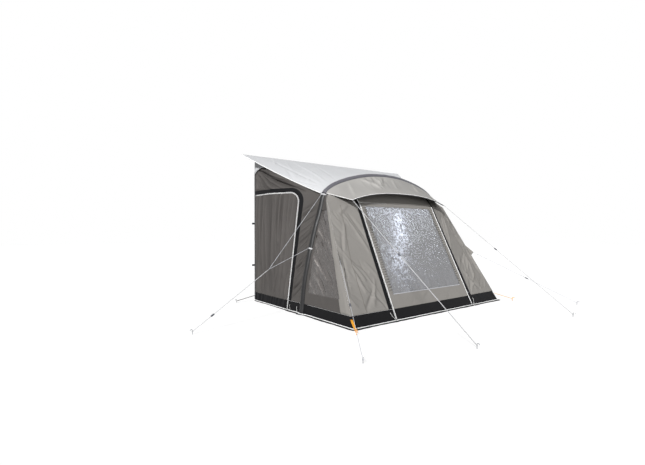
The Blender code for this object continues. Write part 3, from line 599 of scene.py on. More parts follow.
edge_y = np.linspace(-0.10, REAR_Y - REAR_SEAM, 160)
edge_s = np.clip((REAR_Y - REAR_SEAM - edge_y) / (REAR_Y - REAR_SEAM - roof(1.0, 1.0)[1]), 0, 1)
edge_x = np.minimum(HALF_WIDTH, roof(np.ones(160), edge_s)[:, 0] - 0.008)
low, high = np.zeros(160), np.ones(160)
for _ in range(24):
    trial = (low + high) / 2
    inside = roof(trial, edge_s)[:, 0] < edge_x
    low, high = np.where(inside, trial, low), np.where(inside, high, trial)
edge_z = roof(trial, edge_s)[:, 2] - 0.010


def column_x(y, z):
    """The wall stands in straight columns from the ground line to under the roof's edge."""
    return lerp(HALF_WIDTH, np.interp(y, edge_y, edge_x), z / np.interp(y, edge_y, edge_z))


def wall_front_edge(z):
    """The wall's edge behind the beam's leg, at height z on it."""
    return by_beam(long_at_height(z), WALL_OUT, off_beam(WALL_OUT))


def wall_x(y, z):
    """Straight columns back to the door's edge, then drawn in to the beam by the square of the way."""
    edge = wall_front_edge(z)
    f = np.clip((DOOR_EDGE_Y - y) / (DOOR_EDGE_Y - edge[..., 1]), 0, 1)
    return lerp(column_x(y, z), edge[..., 0], f * f)


def door_line(run, off=0.0):
    """The door's zip line as (y, z): up from the ground, round a quarter circle, back along the head.

    run is the length along it from the ground, and off a distance outside it.
    """
    turn = np.clip((run - LEG) / ARC, 0, 1) * math.pi / 2
    reach = DOOR_CORNER + off
    y = DOOR_EDGE_Y + DOOR_CORNER - reach * np.cos(turn) + np.clip(run - LEG - ARC, 0, None)
    return y, np.clip(run, None, LEG) + reach * np.sin(turn)


def along_door(leg, arc, head, start, back=0.0):
    """Lengths along the door's zip line, with so many on its leg, its corner and its head."""
    return np.concatenate([np.linspace(start, LEG, leg), LEG + np.linspace(0, ARC, arc)[1:],
                           LEG + ARC + np.linspace(0, HEAD - back, head)[1:]])


def side_folds(y, z):
    """Creases that fan out of the rear top corner and back off the leg, where the cloth is pulled."""
    rng = np.random.default_rng(5)
    lines = []
    for angle in np.linspace(-16, -84, 34):
        way = math.radians(angle + rng.normal(0, 2.0))
        reach = np.array([rng.uniform(0.10, 0.35), rng.uniform(0.60, 1.20)])
        y0, y1 = 1.33 - np.cos(way) * reach
        z0, z1 = 2.22 + np.sin(way) * reach
        rise = rng.choice([-1, 1]) * rng.uniform(0.016, 0.042)
        lines.append((y0, z0, y1, z1, rise, rng.uniform(0.015, 0.032)))
    for z0 in np.linspace(0.40, 1.66, 17):
        rise = rng.choice([-1, 1]) * rng.uniform(0.010, 0.020)
        lines.append((-0.06, z0 + 0.06, 0.34, z0 - rng.uniform(0.15, 0.42), rise,
                      rng.uniform(0.014, 0.026)))
    return creases(y, z, lines) + 0.0045 * swell(y, z, 0.35, 6)


def drapes(y, z):
    """The door hangs in creases of uneven width, depth and lean, which end at uneven heights."""
    rng = np.random.default_rng(14)
    lines = []
    for y0 in np.linspace(0.36, 1.30, 21):
        y0 = y0 + rng.normal(0, 0.012)
        drop, lean = rng.uniform(0.7, 1.7), rng.normal(0.02, 0.035)
        rise = rng.choice([-1, 1]) * rng.uniform(0.014, 0.034)
        lines.append((y0, 1.80, y0 + lean, 1.80 - drop, rise, rng.uniform(0.018, 0.042)))
        y1 = y0 + rng.normal(0, 0.03)
        lines.append((y1, rng.uniform(0.5, 0.8), y1 + rng.uniform(0.02, 0.16), -0.05,
                      rng.uniform(-0.022, 0.022), rng.uniform(0.016, 0.034)))
    return creases(y, z, lines) + 0.0040 * np.sin((y + 0.05 * z) * 47 + np.sin(5 * z))


def mirror_x(points, sign):
    """The right side's points, or their mirror image for the left."""
    return points * [sign, 1, 1]


def cells(points):
    """The row and the column of each face of a grid of points."""
    return np.indices((points.shape[0] - 1, points.shape[1] - 1))


def two_tone(piece, second, mask):
    """Give the faces where mask is true the piece's second finish."""
    piece.data.materials.append(second)
    piece.data.polygons.foreach_set("material_index", np.asarray(mask, np.int32).ravel())


def placed(run, along, path):
    """Points at lengths run on a path whose own points lie at lengths along."""
    return np.stack([np.interp(run, along, path[:, k]) for k in range(3)], axis=1)


def zip_chain(name, path, up):
    """A coil zip's chain: a flat oval swept along the zip, narrowed between each pair of teeth."""
    along = travelled(path)
    run = np.linspace(0, along[-1], int(along[-1] / 0.004) * 2 + 1)
    teeth = 1 - 0.28 * (np.arange(len(run)) % 2)
    sweep(name, placed(run, along, path), circle(1.0, 6) * [0.0042, 0.0016], zip_plastic, up=up,
          scale=teeth, slot="white_tape")


# wall_cloth's dark grey is partly the cloth's own colour and partly painted shade on the sides.
wall_cloth = cloth_finish("wall_cloth", shown(85, 82, 80), mottle=0.12)
black_cloth = cloth_finish("black_cloth", shown(17, 17, 19), rough=0.6, crinkle=0.5)
zip_plastic = moulded("zip_plastic", shown(214, 214, 214), 0.45)
zip_metal = moulded("zip_slider_metal", shown(92, 94, 98), 0.32, wear=0.4)

# The wall's grid runs from five narrow rows of facing, round the zip, out to the leg and the roof.
run = along_door(180, 40, 110, MUD_WALL + SEAM)
leg_z = np.linspace(MUD_WALL + SEAM, LEG_SEAM_TOP, 60)
roof_y = np.linspace(WALL_TURN_Y, DOOR_HINGE_Y, 80)
outer_y = np.concatenate([wall_front_edge(leg_z)[:, 1], roof_y])
outer_z = np.concatenate([leg_z, np.interp(roof_y, edge_y, edge_z)])
knots = [MUD_WALL + SEAM, LEG, LEG + ARC, LEG + ARC + HEAD]
at_corner = 60 + 79 * (DOOR_EDGE_Y + DOOR_CORNER - WALL_TURN_Y) / (DOOR_HINGE_Y - WALL_TURN_Y)
share = np.interp(run, knots, [0, 48, at_corner, 139])
far_y, far_z = (np.interp(share, np.arange(140), values) for values in (outer_y, outer_z))
near = [door_line(run, SEAM + off) for off in np.linspace(0, FACING_WIDTH, FACING_ROWS + 1)]
spread = np.linspace(0, 1, 56)[1:]
ys = np.stack([p[0] for p in near] + [lerp(near[-1][0], far_y, k) for k in spread])
zs = np.stack([p[1] for p in near] + [lerp(near[-1][1], far_z, k) for k in spread])
to_far = np.hypot(ys - far_y, zs - far_z)
to_door = np.hypot(ys - near[0][0], zs - near[0][1])
calm = fall(to_far, 0.04) * fall(to_door - 0.05, 0.05) * fall(zs - MUD_WALL, 0.06)
wall_pull = side_folds(ys, zs) * calm * fall(DOOR_HINGE_Y - ys, 0.04)
puckers = 0.0016 * np.sin(zs * 150 + 3 * np.sin(zs * 9)) * bell(to_far, 0.07)
wall_grid = raised(at(wall_x(ys, zs), ys, zs), wall_pull + puckers * fall(to_far, 0.012), (1, 0, 0))

# The door's grid has level rows up to its corner, and its top rows bend up to the zip line.
CORNER_ROW, DOOR_STRIP_ROWS = 1.61, 7
line_y, line_z = door_line(LEG + ARC + HEAD - np.linspace(0, HEAD, 101), -SEAM)
arc_y, arc_z = door_line(LEG + ARC * (1 - np.linspace(0, 1, 32)[1:]), -SEAM)
top_y, top_z = np.concatenate([line_y, arc_y]), np.concatenate([line_z, arc_z])
rows = np.concatenate([np.linspace(HEM, MUD_WALL, DOOR_STRIP_ROWS + 1),
                       np.linspace(MUD_WALL, CORNER_ROW, 111)[1:]])
rise = np.linspace(0, 1, 12)[1:, None]
door_z = np.vstack([np.tile(rows[:, None], len(top_y)), lerp(CORNER_ROW, top_z[None, :], rise)])
door_y = np.broadcast_to(top_y, door_z.shape)
inside = np.minimum(DOOR_HINGE_Y - door_y, np.minimum(door_y - DOOR_EDGE_Y, DOOR_TOP - door_z))
corner = DOOR_CORNER - np.hypot(np.clip(DOOR_EDGE_Y + DOOR_CORNER - door_y, 0, None),
                                np.clip(door_z - LEG, 0, None))
in_corner = (door_y < DOOR_EDGE_Y + DOOR_CORNER) & (door_z > LEG)
inside = np.minimum(inside, np.where(in_corner, corner, 1.0))
door_hang = drapes(door_y, door_z) * fall(inside, 0.05) * (0.35 + 0.65 * fall(door_z - MUD_WALL, 0.10))
door_grid = raised(at(column_x(door_y, door_z), door_y, door_z), door_hang, (1, 0, 0))

# The wall's pull and the door's drapes also go to their finish as painted light and shade: fold ridges
# paler, valleys darker.
for side, sign in SIDES.items():
    wall = cloth(f"{side}_wall_cloth", mirror_x(wall_grid, sign), wall_cloth, flat=(1.36, 2.28),
                 slot="wall_grey", nodes=[f"{side}_side_wall"], haze=wall_pull / WALL_FULL_PAINTED_SHADE)
    two_tone(wall, black_cloth, cells(wall_grid)[0] < FACING_ROWS)
    door = cloth(f"{side}_door_cloth", mirror_x(door_grid, sign), wall_cloth, held="hung",
                 slot="wall_grey", body=f"{side}_door", nodes=[f"{side}_door"],
                 haze=door_hang / WALL_FULL_PAINTED_SHADE)
    two_tone(door, black_cloth, cells(door_grid)[0] < DOOR_STRIP_ROWS)
    zip_run = along_door(60, 20, 30, 0.02, back=0.02)
    y, z = door_line(zip_run)
    zip_chain(f"{side}_door_zip", mirror_x(at(column_x(y, z) + 0.0020, y, z), sign), (sign, 0, 0))
    y, z = door_line(zip_run, -0.010)
    piping(f"{side}_door_piping", mirror_x(at(column_x(y, z) + 0.0030, y, z), sign), 0.0032,
           up=(sign, 0, 0), body=f"{side}_door")
    refinish(f"{side}_door_zip_slider", zip_metal)
    refinish(f"{side}_front_zip_slider", zip_metal)


# Where the roof's edge meets the caravan, the wall's top corner stops short of it. A gusset of the
# roof's cloth is sewn over the gap, from under the piping down to the wall.
GUSSET_FOOT_Y, GUSSET_FOOT_Z = [0.928, 1.093, 1.23, 1.353], [2.197, 2.209, 2.176, 2.106]
y = np.broadcast_to(np.linspace(0.945, DOOR_HINGE_Y - 0.002, 40), (9, 40))
v = np.linspace(0, 1, 9)[:, None]
z = lerp(np.interp(y, GUSSET_FOOT_Y, GUSSET_FOOT_Z), np.interp(y, edge_y, edge_z) + 0.003, v)
gusset = at(column_x(y, z) + 0.006 + 0.010 * np.cos(v * math.pi / 2), y, z)
for side, sign in SIDES.items():
    cloth(f"{side}_roof_gusset", mirror_x(gusset, sign), roof_cloth, slot="roof_grey")


# In front of each leg is a triangle of the wall's cloth up to the corner seam. It frames a window of
# dark clear film, crumpled from packing, and turns into the front wing at the seam. The film's
# darkness is partly its own tint and partly painted shade of the awning's inside behind it. The strip
# by the seam has the front's lighter cloth, as painted light shining through the cloth there.
LEAN, PANEL_TOP = 0.4827, 1.60
PANEL_HALF_TOP, PANEL_HALF_FOOT, HEADER_HALF = 0.846, 0.888, 0.870
SEAM_FOOT, SEAM_TOP = np.array([1.65, FRONT_Y, 0.0]), np.array([1.32, REAR_Y - 1.52, 1.75])
WING_OUT, HEADER_OUT = 0.0, -0.030
SEAM_HEAD = by_beam(SHOULDER, WING_OUT, -off_beam(WING_OUT))
SIDE_PANEL_TOP, SIDE_PANEL_TURN, FILM_CREASE = 1.64, 0.80, 0.024
WINDOW_U, WINDOW_V = (1 / 12, 10 / 12), (1 / 9, 8 / 9)


def front_y(z):
    """The front leans back by the same share of every metre up."""
    return FRONT_Y + LEAN * z


def seam_at(z):
    """The corner seam: straight up to the panel's top, then drawn in to the beam."""
    z = np.asarray(z, float)[..., None]
    knee = lerp(SEAM_FOOT, SEAM_TOP, PANEL_TOP / SEAM_TOP[2])
    upper = lerp(knee, SEAM_HEAD, (z - PANEL_TOP) / (SEAM_HEAD[2] - PANEL_TOP))
    return np.where(z <= PANEL_TOP, lerp(SEAM_FOOT, SEAM_TOP, z / SEAM_TOP[2]), upper)


def side_panel(u, v):
    """Level lines from the leg to the corner seam, u along them and v up."""
    z = lerp(MUD_WALL + SEAM, SIDE_PANEL_TOP, np.asarray(v, float))
    rear = by_beam(long_at_height(z), WALL_OUT, -off_beam(WALL_OUT))
    return lerp(rear, seam_at(z) + [-0.0015, 0.0045, 0], np.asarray(u, float)[..., None])


def crumple(p, q, size, seed):
    """Packed film's crumples: sharp ridges 1 - |sin| of waves bent by slower waves, at three sizes."""
    total, share = 0, 1.0
    for level in range(3):
        bend_p = p + 0.35 * size * swell(p, q, size * 1.3, seed + 10 * level)
        bend_q = q + 0.35 * size * swell(p, q, size * 1.1, seed + 10 * level + 1)
        total = total + share * (1 - 2 * np.abs(swell(bend_p, bend_q, size, seed + level)))
        size, share = size * 0.55, share * 0.6
    return total


def clamped(wire):
    """A wire held between 0 and 1."""
    return wire.math("MINIMUM", wire.math("MAXIMUM", wire, 0.0), 1.0)


def clear_finish(name, tint, milk_and_glare_colour, see, crisp):
    """Clear PVC film. Its creases are the thin lines where noise crosses a half, at two sizes.

    They scatter light, so the film is milky along them, as far as the mesh's haze goes. There
    the milky colour also stands for painted highlights and reflections on the film.
    """
    made = Finish(name, Roughness=0.12, IOR=1.5, Specular_IOR_Level=0.6)
    off = [(made.noise(scale) - 0.5, sharp) for scale, sharp in ((10.0, 14.0), (27.0, 10.0))]
    lines = [clamped(1 - wire.math("ABSOLUTE", wire) * sharp) for wire, sharp in off]
    haze = made.node("Attribute", 2, {"attribute_name": "haze"})
    # milk_and_glare: the creases' whitening and painted highlight, as far as haze goes.
    milk_and_glare = clamped(haze * (lines[0] * 0.8 + lines[1] * 0.5 + 0.22))
    made.set(Base_Color=made.mix(milk_and_glare, tint, milk_and_glare_colour), Alpha=milk_and_glare * (1 - see) + see,
             Normal=made.node("Bump", Strength=crisp, Distance=0.0016,
                              Height=(lines[0] * 0.6 + lines[1] * 0.45) * clamped(haze + 0.05)))
    return made.material


front_cloth = cloth_finish("front_cloth", shown(138, 135, 131))
# The side film is dark and nearly opaque, partly its own tint and partly painted shade of the awning's
# inside seen through it.
side_film = clear_finish("side_film", shown(75, 71, 69), shown(164, 158, 154), 0.86, 0.12)

# The panel's last rows go on above its top, under the shoulder's band, so that no gap shows there.
under_band = [1.01, 1.02, 1.03, 1.038]
u, v = np.meshgrid(np.linspace(0, 1, 61), np.concatenate([np.linspace(0, 1, 127), under_band]))
panel_points = side_panel(u, v)
p, q = panel_points[..., 1], panel_points[..., 2]
wide = np.linalg.norm(panel_points[:, -1] - panel_points[:, 0], axis=1)[:, None]
calm = ends_fall(u, wide, 0.025, 0.04) * fall(q - MUD_WALL, 0.03)
folds = creases(p, q, strewn(31, 46, (-1.0, -0.05, 0.2, 1.5), 56, 10, 0.5, 0.012))
folds += 0.007 * np.sin(math.pi * np.clip((u - 0.78) / 0.22, 0, 1))
pucker = 0.0014 * np.sin(q * 170 + 2 * np.sin(9 * q)) * bell(u * wide, 0.05)
side_grid = raised(panel_points, folds * calm + pucker * fall(u * wide, 0.01), (1, 0, 0))
hole = ((u[:-1, :-1] >= WINDOW_U[0] - 1e-6) & (u[1:, 1:] <= WINDOW_U[1] + 1e-6)
        & (v[:-1, :-1] >= WINDOW_V[0] - 1e-6) & (v[1:, 1:] <= WINDOW_V[1] + 1e-6))
# front_part: the strip by the seam, given the lighter front cloth as painted light shining through it.
front_part = (u[:-1, :-1] > SIDE_PANEL_TURN)[~hole]

fu, fv = np.meshgrid(np.linspace(WINDOW_U[0] - 0.012, WINDOW_U[1] + 0.012, 71),
                     np.linspace(WINDOW_V[0] - 0.008, WINDOW_V[1] + 0.008, 151))
film_points = side_panel(fu, fv) - [0.0015, 0, 0]
p, q = film_points[..., 1], film_points[..., 2]
wide = np.linalg.norm(film_points[:, -1] - film_points[:, 0], axis=1)[:, None]
across, up = (fu - fu.min()) / np.ptp(fu), (fv - fv.min()) / np.ptp(fv)
rim = ends_fall(across, wide, 0.06, 0.12) * ends_fall(up, 1.2, 0.10, 0.08)
folds = 0.0010 * crumple(p, q, 0.11, 40)
folds += creases(p, q, strewn(33, 60, (-0.9, -0.1, 0.25, 1.4), 50, 7, 0.9, FILM_CREASE))
# The film's crease crests are painted milky: partly the creased film's own whitening and partly painted
# highlight.
film_haze = 0.06 + 0.7 * np.clip(folds / FILM_CREASE, 0, 1) ** 1.2
film_grid = raised(film_points, folds * rim, (1, 0, 0))
for side, sign in SIDES.items():
    panel = cloth(f"{side}_panel_cloth", mirror_x(side_grid, sign), wall_cloth, hole,
                  slot="wall_grey", nodes=[f"{side}_side_panel"])
    two_tone(panel, front_cloth, front_part)
    cloth(f"{side}_window_film", mirror_x(film_grid, sign), side_film, thickness=0.0006,
          slot="clear_film", haze=film_haze, nodes=[f"{side}_side_window"])


# The front wings fill the front between the corner seams and the zips. Each has a black facing beside
# the zip, a sewn seam down its middle, and at the corner a doubled cloth tab for the corner guy.
WING_FACING, WING_FACING_COLUMNS, KNEE, ZIP_HEAD = 0.10, 7, 0.78, 1.585
TAB_FOOT, TAB_HEAD, TAB_TIP = 0.74, 0.93, np.array([1.534, REAR_Y - 2.112, 0.80])
FRONT_UP = (0, -0.9, 0.43)
WING_SEAM_Z, WING_SEAM_X = [0.20, 0.426, 0.739, 1.462, 1.55], [1.345, 1.342, 1.326, 1.182, 1.165]


def strap_profile(width, thickness, sides=3):
    """A flat strap's profile: a slab with round edges."""
    turn = np.radians(np.linspace(-90, 90, sides + 2))
    x, y = np.cos(turn) * thickness / 2, np.sin(turn) * thickness / 2
    half = width / 2 - thickness / 2
    return np.vstack([at(half + x, y), at(-half - x, -y)])


def panel_edge(z):
    """The opening panel's edge, straight from foot to head, beside which its zip runs."""
    z = np.asarray(z, float)
    return at(lerp(PANEL_HALF_FOOT, PANEL_HALF_TOP, z / PANEL_TOP), front_y(z), z)


def wing(u, v):
    """Lines from the panel's edge to the corner seam, u along them; above the knee up to the beam."""
    foot_z, u3, v3 = MUD_WALL + SEAM, u[..., None], v[..., None]
    foot = lerp(panel_edge(foot_z), seam_at(foot_z), u3)
    head = lerp(panel_edge(PANEL_TOP), seam_at(PANEL_TOP), u3)
    out = lerp(HEADER_OUT, WING_OUT, u)
    beam = by_beam(lerp(long_at_x(HEADER_HALF), SHOULDER, u), out, -off_beam(out))
    lower, upper = lerp(foot, head, v3 / KNEE), lerp(head, beam, (v3 - KNEE) / (1 - KNEE))
    return np.where(v3 < KNEE, lower, upper) + at(lerp(SEAM, -SEAM, u), -0.0035 * u, 0)


def on_wing(x, z):
    """Places on the folded wing at x and height z.

    Each row of its grid gives its own point at x, and between those rows lies the point at z.
    """
    rows = [[np.interp(px, row[:, 0], row[:, k]) for row in wing_grid] for px in x for k in range(3)]
    rows = np.array(rows).reshape(len(x), 3, -1)
    return np.array([[np.interp(pz, row[2], row[k]) for k in range(3)] for pz, row in zip(z, rows)])


wing_u = np.concatenate([np.linspace(0, WING_FACING, WING_FACING_COLUMNS + 1),
                         np.linspace(WING_FACING, 1, 61)[1:]])
wing_v = np.concatenate([np.linspace(0, KNEE, 121), np.linspace(KNEE, 1, 31)[1:]])
u, v = np.meshgrid(wing_u, wing_v)
wing_points = wing(u, v)
x, z = wing_points[..., 0], wing_points[..., 2]
wide = np.linalg.norm(wing_points[:, -1] - wing_points[:, 0], axis=1)[:, None]
folds = creases(x, z, [
    (1.166, 1.434, 0.935, 0.848, 0.022, 0.024), (1.090, 1.436, 0.915, 1.054, -0.020, 0.027),
    (1.326, 0.739, 1.181, 0.524, 0.022, 0.022), (1.30, 0.80, 1.08, 0.62, -0.020, 0.030),
    (1.34, 0.70, 1.24, 0.36, 0.019, 0.024), (1.42, 0.86, 1.50, 0.45, -0.018, 0.030),
    (1.46, 0.80, 1.56, 0.34, 0.018, 0.026), (1.20, 1.30, 1.36, 0.92, 0.015, 0.030),
    (1.40, 0.88, 1.30, 1.15, -0.015, 0.030), (1.02, 0.55, 1.20, 0.20, 0.016, 0.030),
    (1.10, 0.42, 1.34, 0.18, -0.016, 0.027), (1.05, 1.55, 1.25, 1.42, 0.014, 0.032),
] + strewn(41, 34, (0.95, 1.55, 0.2, 1.5), 58, 12, 0.5, 0.014))
folds += 0.0034 * swell(x, z, 0.3, 9)
folds += 0.0012 * np.sin(z * 160 + 2 * np.sin(8 * z)) * bell((1 - u) * wide, 0.05)
calm = fall((u - WING_FACING * 0.8) * wide, 0.04) * fall((1 - u) * wide, 0.012)
calm = calm * fall(z - MUD_WALL, 0.04) * fall((1 - v) * 0.5, 0.05)
wing_grid = raised(wing_points, folds * calm, (0, -1, 0.4))

tu, tv = shares(17, 13)
root = seam_at(lerp(TAB_FOOT, TAB_HEAD, tu)) + [-0.004, -0.004, 0]
tab_grid = lerp(root, TAB_TIP + at(0, 0, lerp(-0.008, 0.008, tu)), tv[..., None])
tab_grid[..., 2] += 0.006 * np.sin(math.pi * tu) * np.sin(math.pi * tv)

sewn = cloth_finish("sewn_tape", shown(120, 116, 111), pitch=0.0012)
for side, sign in SIDES.items():
    piece = cloth(f"{side}_wing_cloth", mirror_x(wing_grid, sign), front_cloth,
                  slot="front_grey", nodes=[f"{side}_front_wing"])
    two_tone(piece, black_cloth, cells(wing_grid)[1] < WING_FACING_COLUMNS)
    z = np.linspace(1.55, 0.16, 90)
    path = on_wing(np.interp(z, WING_SEAM_Z, WING_SEAM_X), z) + [0, -0.0018, 0.0009]
    sweep(f"{side}_wing_seam", mirror_x(path, sign), strap_profile(0.009, 0.0012), sewn,
          up=FRONT_UP, slot="front_grey")
    cloth(f"{side}_storm_tab", mirror_x(tab_grid, sign), front_cloth, thickness=0.0022,
          flat=(0.22, 0.08), slot="front_grey", nodes=[f"{side}_front_wing"])
    corner = seam_at(np.linspace(MUD_WALL + SEAM, LEG_SEAM_TOP, 90)) + [0.0025, -0.0025, 0]
    sweep(f"{side}_corner_seam", mirror_x(corner, sign), circle(0.0034), front_cloth,
          slot="white_tape")
    edge = panel_edge(np.linspace(0.02, ZIP_HEAD, 90))
    zip_chain(f"{side}_front_zip", mirror_x(edge + [0.0, -0.0026, 0.0013], sign), FRONT_UP)
    piping(f"{side}_front_zip_piping", mirror_x(edge + [-0.012, -0.0040, 0.0019], sign), 0.0030,
           up=FRONT_UP, body="front_panel")


# The header is sewn across under the arch, and the front panel hangs from it. The panel is the wings'
# cloth round a big clear window, gathered along the window's sides, with a black strip at its foot.
# Behind the window hangs a gathered blind.
WINDOW_FOOT, WINDOW_HEAD, WINDOW_HALF_FOOT, WINDOW_HALF_HEAD = 0.32, 1.545, 0.775, 0.745
FRAME_SHARE, GATHER_PITCH, PANEL_STRIP_ROWS = 0.87, 0.034, 8
BLIND_FOOT, BLIND_HEAD, BLIND_HALF_FOOT, BLIND_HALF_HEAD = 0.255, 1.575, 0.810, 0.785
FRONT_WAY = (0, -1, 0.4)
inward = np.cross(unit(np.array([0.0, LEAN, 1.0])), [1.0, 0.0, 0.0])

u, v = shares(121, 15, -1)
header_x = (HEADER_HALF - SEAM) * u
foot = at((PANEL_HALF_TOP - SEAM) * u, front_y(PANEL_TOP) - 0.0015, PANEL_TOP + 0.0010)
head = by_beam(np.sign(header_x) * long_at_x(header_x), HEADER_OUT, -off_beam(HEADER_OUT))
folds = 0.0025 * swell(u, v * 0.4, 0.3, 12) * ends_fall(v, 0.3, 0.05, 0.05)
cloth("header_cloth", raised(lerp(foot, head, v[..., None]), folds, FRONT_WAY), front_cloth,
      slot="front_grey", nodes=["front_header"])


def window_half(z):
    """Half the front window's width at height z, evenly narrower from its foot to its head."""
    return lerp(WINDOW_HALF_FOOT, WINDOW_HALF_HEAD, (z - WINDOW_FOOT) / (WINDOW_HEAD - WINDOW_FOOT))


half_u = np.concatenate([np.linspace(0, FRAME_SHARE, 51), np.linspace(FRAME_SHARE, 1, 13)[1:]])
panel_z = np.concatenate([np.linspace(HEM, MUD_WALL, PANEL_STRIP_ROWS + 1),
                          np.linspace(MUD_WALL, WINDOW_FOOT, 18)[1:],
                          np.linspace(WINDOW_FOOT, WINDOW_HEAD, 241)[1:],
                          np.linspace(WINDOW_HEAD, PANEL_TOP - 0.0005, 8)[1:]])
u, z = np.meshgrid(np.concatenate([-half_u[:0:-1], half_u]), panel_z)
panel_half = lerp(PANEL_HALF_FOOT, PANEL_HALF_TOP, z / PANEL_TOP) - SEAM
beyond = np.clip((np.abs(u) - FRAME_SHARE) / (1 - FRAME_SHARE), 0, 1)
x = np.sign(u) * np.where(beyond > 0, lerp(window_half(z), panel_half, beyond),
                          np.abs(u) / FRAME_SHARE * window_half(z))
to_edge = panel_half - np.abs(x)
gather = bell(np.abs(x) - window_half(z) - 0.018, 0.036) * fall(to_edge, 0.012)
gather = gather * fall(z - 0.30, 0.10) * fall(1.56 - z, 0.05)
folds = 0.0130 * np.sin(z * math.tau / GATHER_PITCH + 1.5 * np.sin(9 * z)) * gather
folds += creases(x, z, strewn(51, 22, (-0.75, 0.75, 0.17, 0.30), 20, 20, 0.3, 0.004)) * (
    fall(z - MUD_WALL, 0.03) * fall(to_edge, 0.05))
hole = ((np.abs(u[:-1, :-1] + u[1:, 1:]) / 2 < FRAME_SHARE) & (z[:-1, :-1] >= WINDOW_FOOT - 1e-6)
        & (z[1:, 1:] <= WINDOW_HEAD + 1e-6))
panel_grid = raised(at(x, front_y(z), z), folds, FRONT_WAY)
panel = cloth("front_panel_cloth", panel_grid, front_cloth, hole, held="hung", flat=(1.78, 1.79),
              slot="front_grey", body="front_panel", nodes=["front_panel"])
two_tone(panel, black_cloth, (cells(panel_grid)[0] < PANEL_STRIP_ROWS)[~hole])

# The front film's milky colour is bluish white, the colour of its painted sky reflection.
front_film = clear_finish("front_film", shown(150, 150, 152), shown(228, 234, 250), 0.30, 0.45)
u, v = shares(171, 141, -1)
z = lerp(WINDOW_FOOT - 0.008, WINDOW_HEAD + 0.008, v)
x = u * (lerp(WINDOW_HALF_FOOT, WINDOW_HALF_HEAD, v) + 0.008)
film_points = at(x, front_y(z), z) + inward * 0.0012
rim = fall((1 - np.abs(u)) * 0.76, 0.05) * ends_fall(v, 1.3, 0.04, 0.04)
folds = 0.0020 * crumple(x, z, 0.10, 60) + 0.0015 * swell(x, z, 0.5, 61) - 0.001
# haze here is a painted reflection of the bright sky on the crumpled film, centre left and lower left, and
# painted light along the top where the hood's shade falls.
haze = (0.10 + 0.9 * bell(x + 0.18 + 0.30 * (1.2 - z), 0.19) * bell(z - 1.20, 0.28)
        + 0.5 * bell(x + 0.46, 0.2) * bell(z - 0.72, 0.27) + 0.2 * fall(z - 1.28, 0.2))
cloth("front_window_film", raised(film_points, folds * rim, FRONT_WAY), front_film, held="hung",
      thickness=0.0006, haze=haze, slot="clear_film", body="front_panel", nodes=["front_window"])

blind_cloth = cloth_finish("blind_cloth", shown(142, 141, 140), rough=0.85)
u, v = shares(201, 61)
z = lerp(BLIND_FOOT, BLIND_HEAD, v)
x = lerp(BLIND_HALF_FOOT, BLIND_HALF_HEAD, v) * (2 * u - 1)
wave = 0.5 + 0.28 * np.sin(x * 38 + 2.5 * (1 - v)) + 0.22 * np.sin(x * 67 - 3 * v + 1)
cloth("blind_cloth", at(x, front_y(z), z) + inward * (0.0085 + 0.006 * wave)[..., None],
      blind_cloth, held="gathered", slot="blind_grey", body="front_panel", nodes=["front_blind"])
sill_tape = cloth_finish("sill_tape", shown(188, 189, 194), pitch=0.0012, rough=0.6)
x, z = np.linspace(-WINDOW_HALF_FOOT, WINDOW_HALF_FOOT, 80), WINDOW_FOOT + 0.002
sweep("window_sill_weld", at(x, front_y(z) - 0.0018, z), strap_profile(0.009, 0.0012), sill_tape,
      up=FRONT_UP, slot="white_tape", body="front_panel")


# Round the ground the walls end in black strips. White piping runs along their feet, and a black
# flap lies out on the ground from it. The door and the front panel carry their own lengths of both.
def skirting(name, path, outward, body, sign, wide=0.045):
    """White piping along a foot line on the ground, and the flap that lies out from it in waves."""
    piping(f"{name}_foot_piping", mirror_x(path + outward * 0.0035 + [0, 0, 0.0105], sign), 0.0055,
           body=body)
    along = travelled(path)
    run = np.linspace(0, along[-1], max(int(along[-1] / 0.012), 4))
    out = np.linspace(0, 1, 7)[:, None]
    width = wide + 0.13 * wide * np.sin(9 * run)
    flap = placed(run, along, path) + placed(run, along, outward) * (out * width + 0.001)[..., None]
    lift = 0.0042 + 0.0028 * np.sin(run * 33 + 2 * np.sin(7 * run)) * out**2
    flap[..., 2] = 0.0012 + np.abs(lift) * (0.4 + 0.6 * (1 - out))
    cloth(f"{name}_ground_flap", mirror_x(flap, sign), black_cloth, held="laid",
          slot="mud_wall_black", body=body)


def corner_strip(u, v):
    """The strip from the leg round the corner to the panel's edge: its middle is at the corner."""
    z = MUD_WALL * v
    start = by_beam(long_at_height(z), WALL_OUT, -off_beam(WALL_OUT))
    corner, end = seam_at(z), panel_edge(z) + [SEAM, 0, 0]
    u3 = u[..., None]
    return np.where(u3 < 0.5, lerp(start, corner, 2 * u3), lerp(corner, end, 2 * u3 - 1))


u, v = shares(25, 13)
z = lerp(0.004, MUD_WALL, v)
y = lerp(DOOR_EDGE_Y - SEAM, wall_front_edge(z)[..., 1], u)
rear_strip = at(wall_x(y, z), y, z)

u, v = shares(161, 13)
ripples = 0.0022 * swell(u * 1.8, v * 0.14, 0.16, 15) * ends_fall(v, 1, 0.3, 0.25)
ripples = ripples * fall(np.abs(u - 0.5), 0.03) * ends_fall(u, 1, 0.02, 0.02)
outward = np.where((u < 0.5)[..., None], [1.0, 0, 0], [0, -1.0, 0.0])
front_strip = corner_strip(u, lerp(0.03, 1, v)) + outward * ripples[..., None]

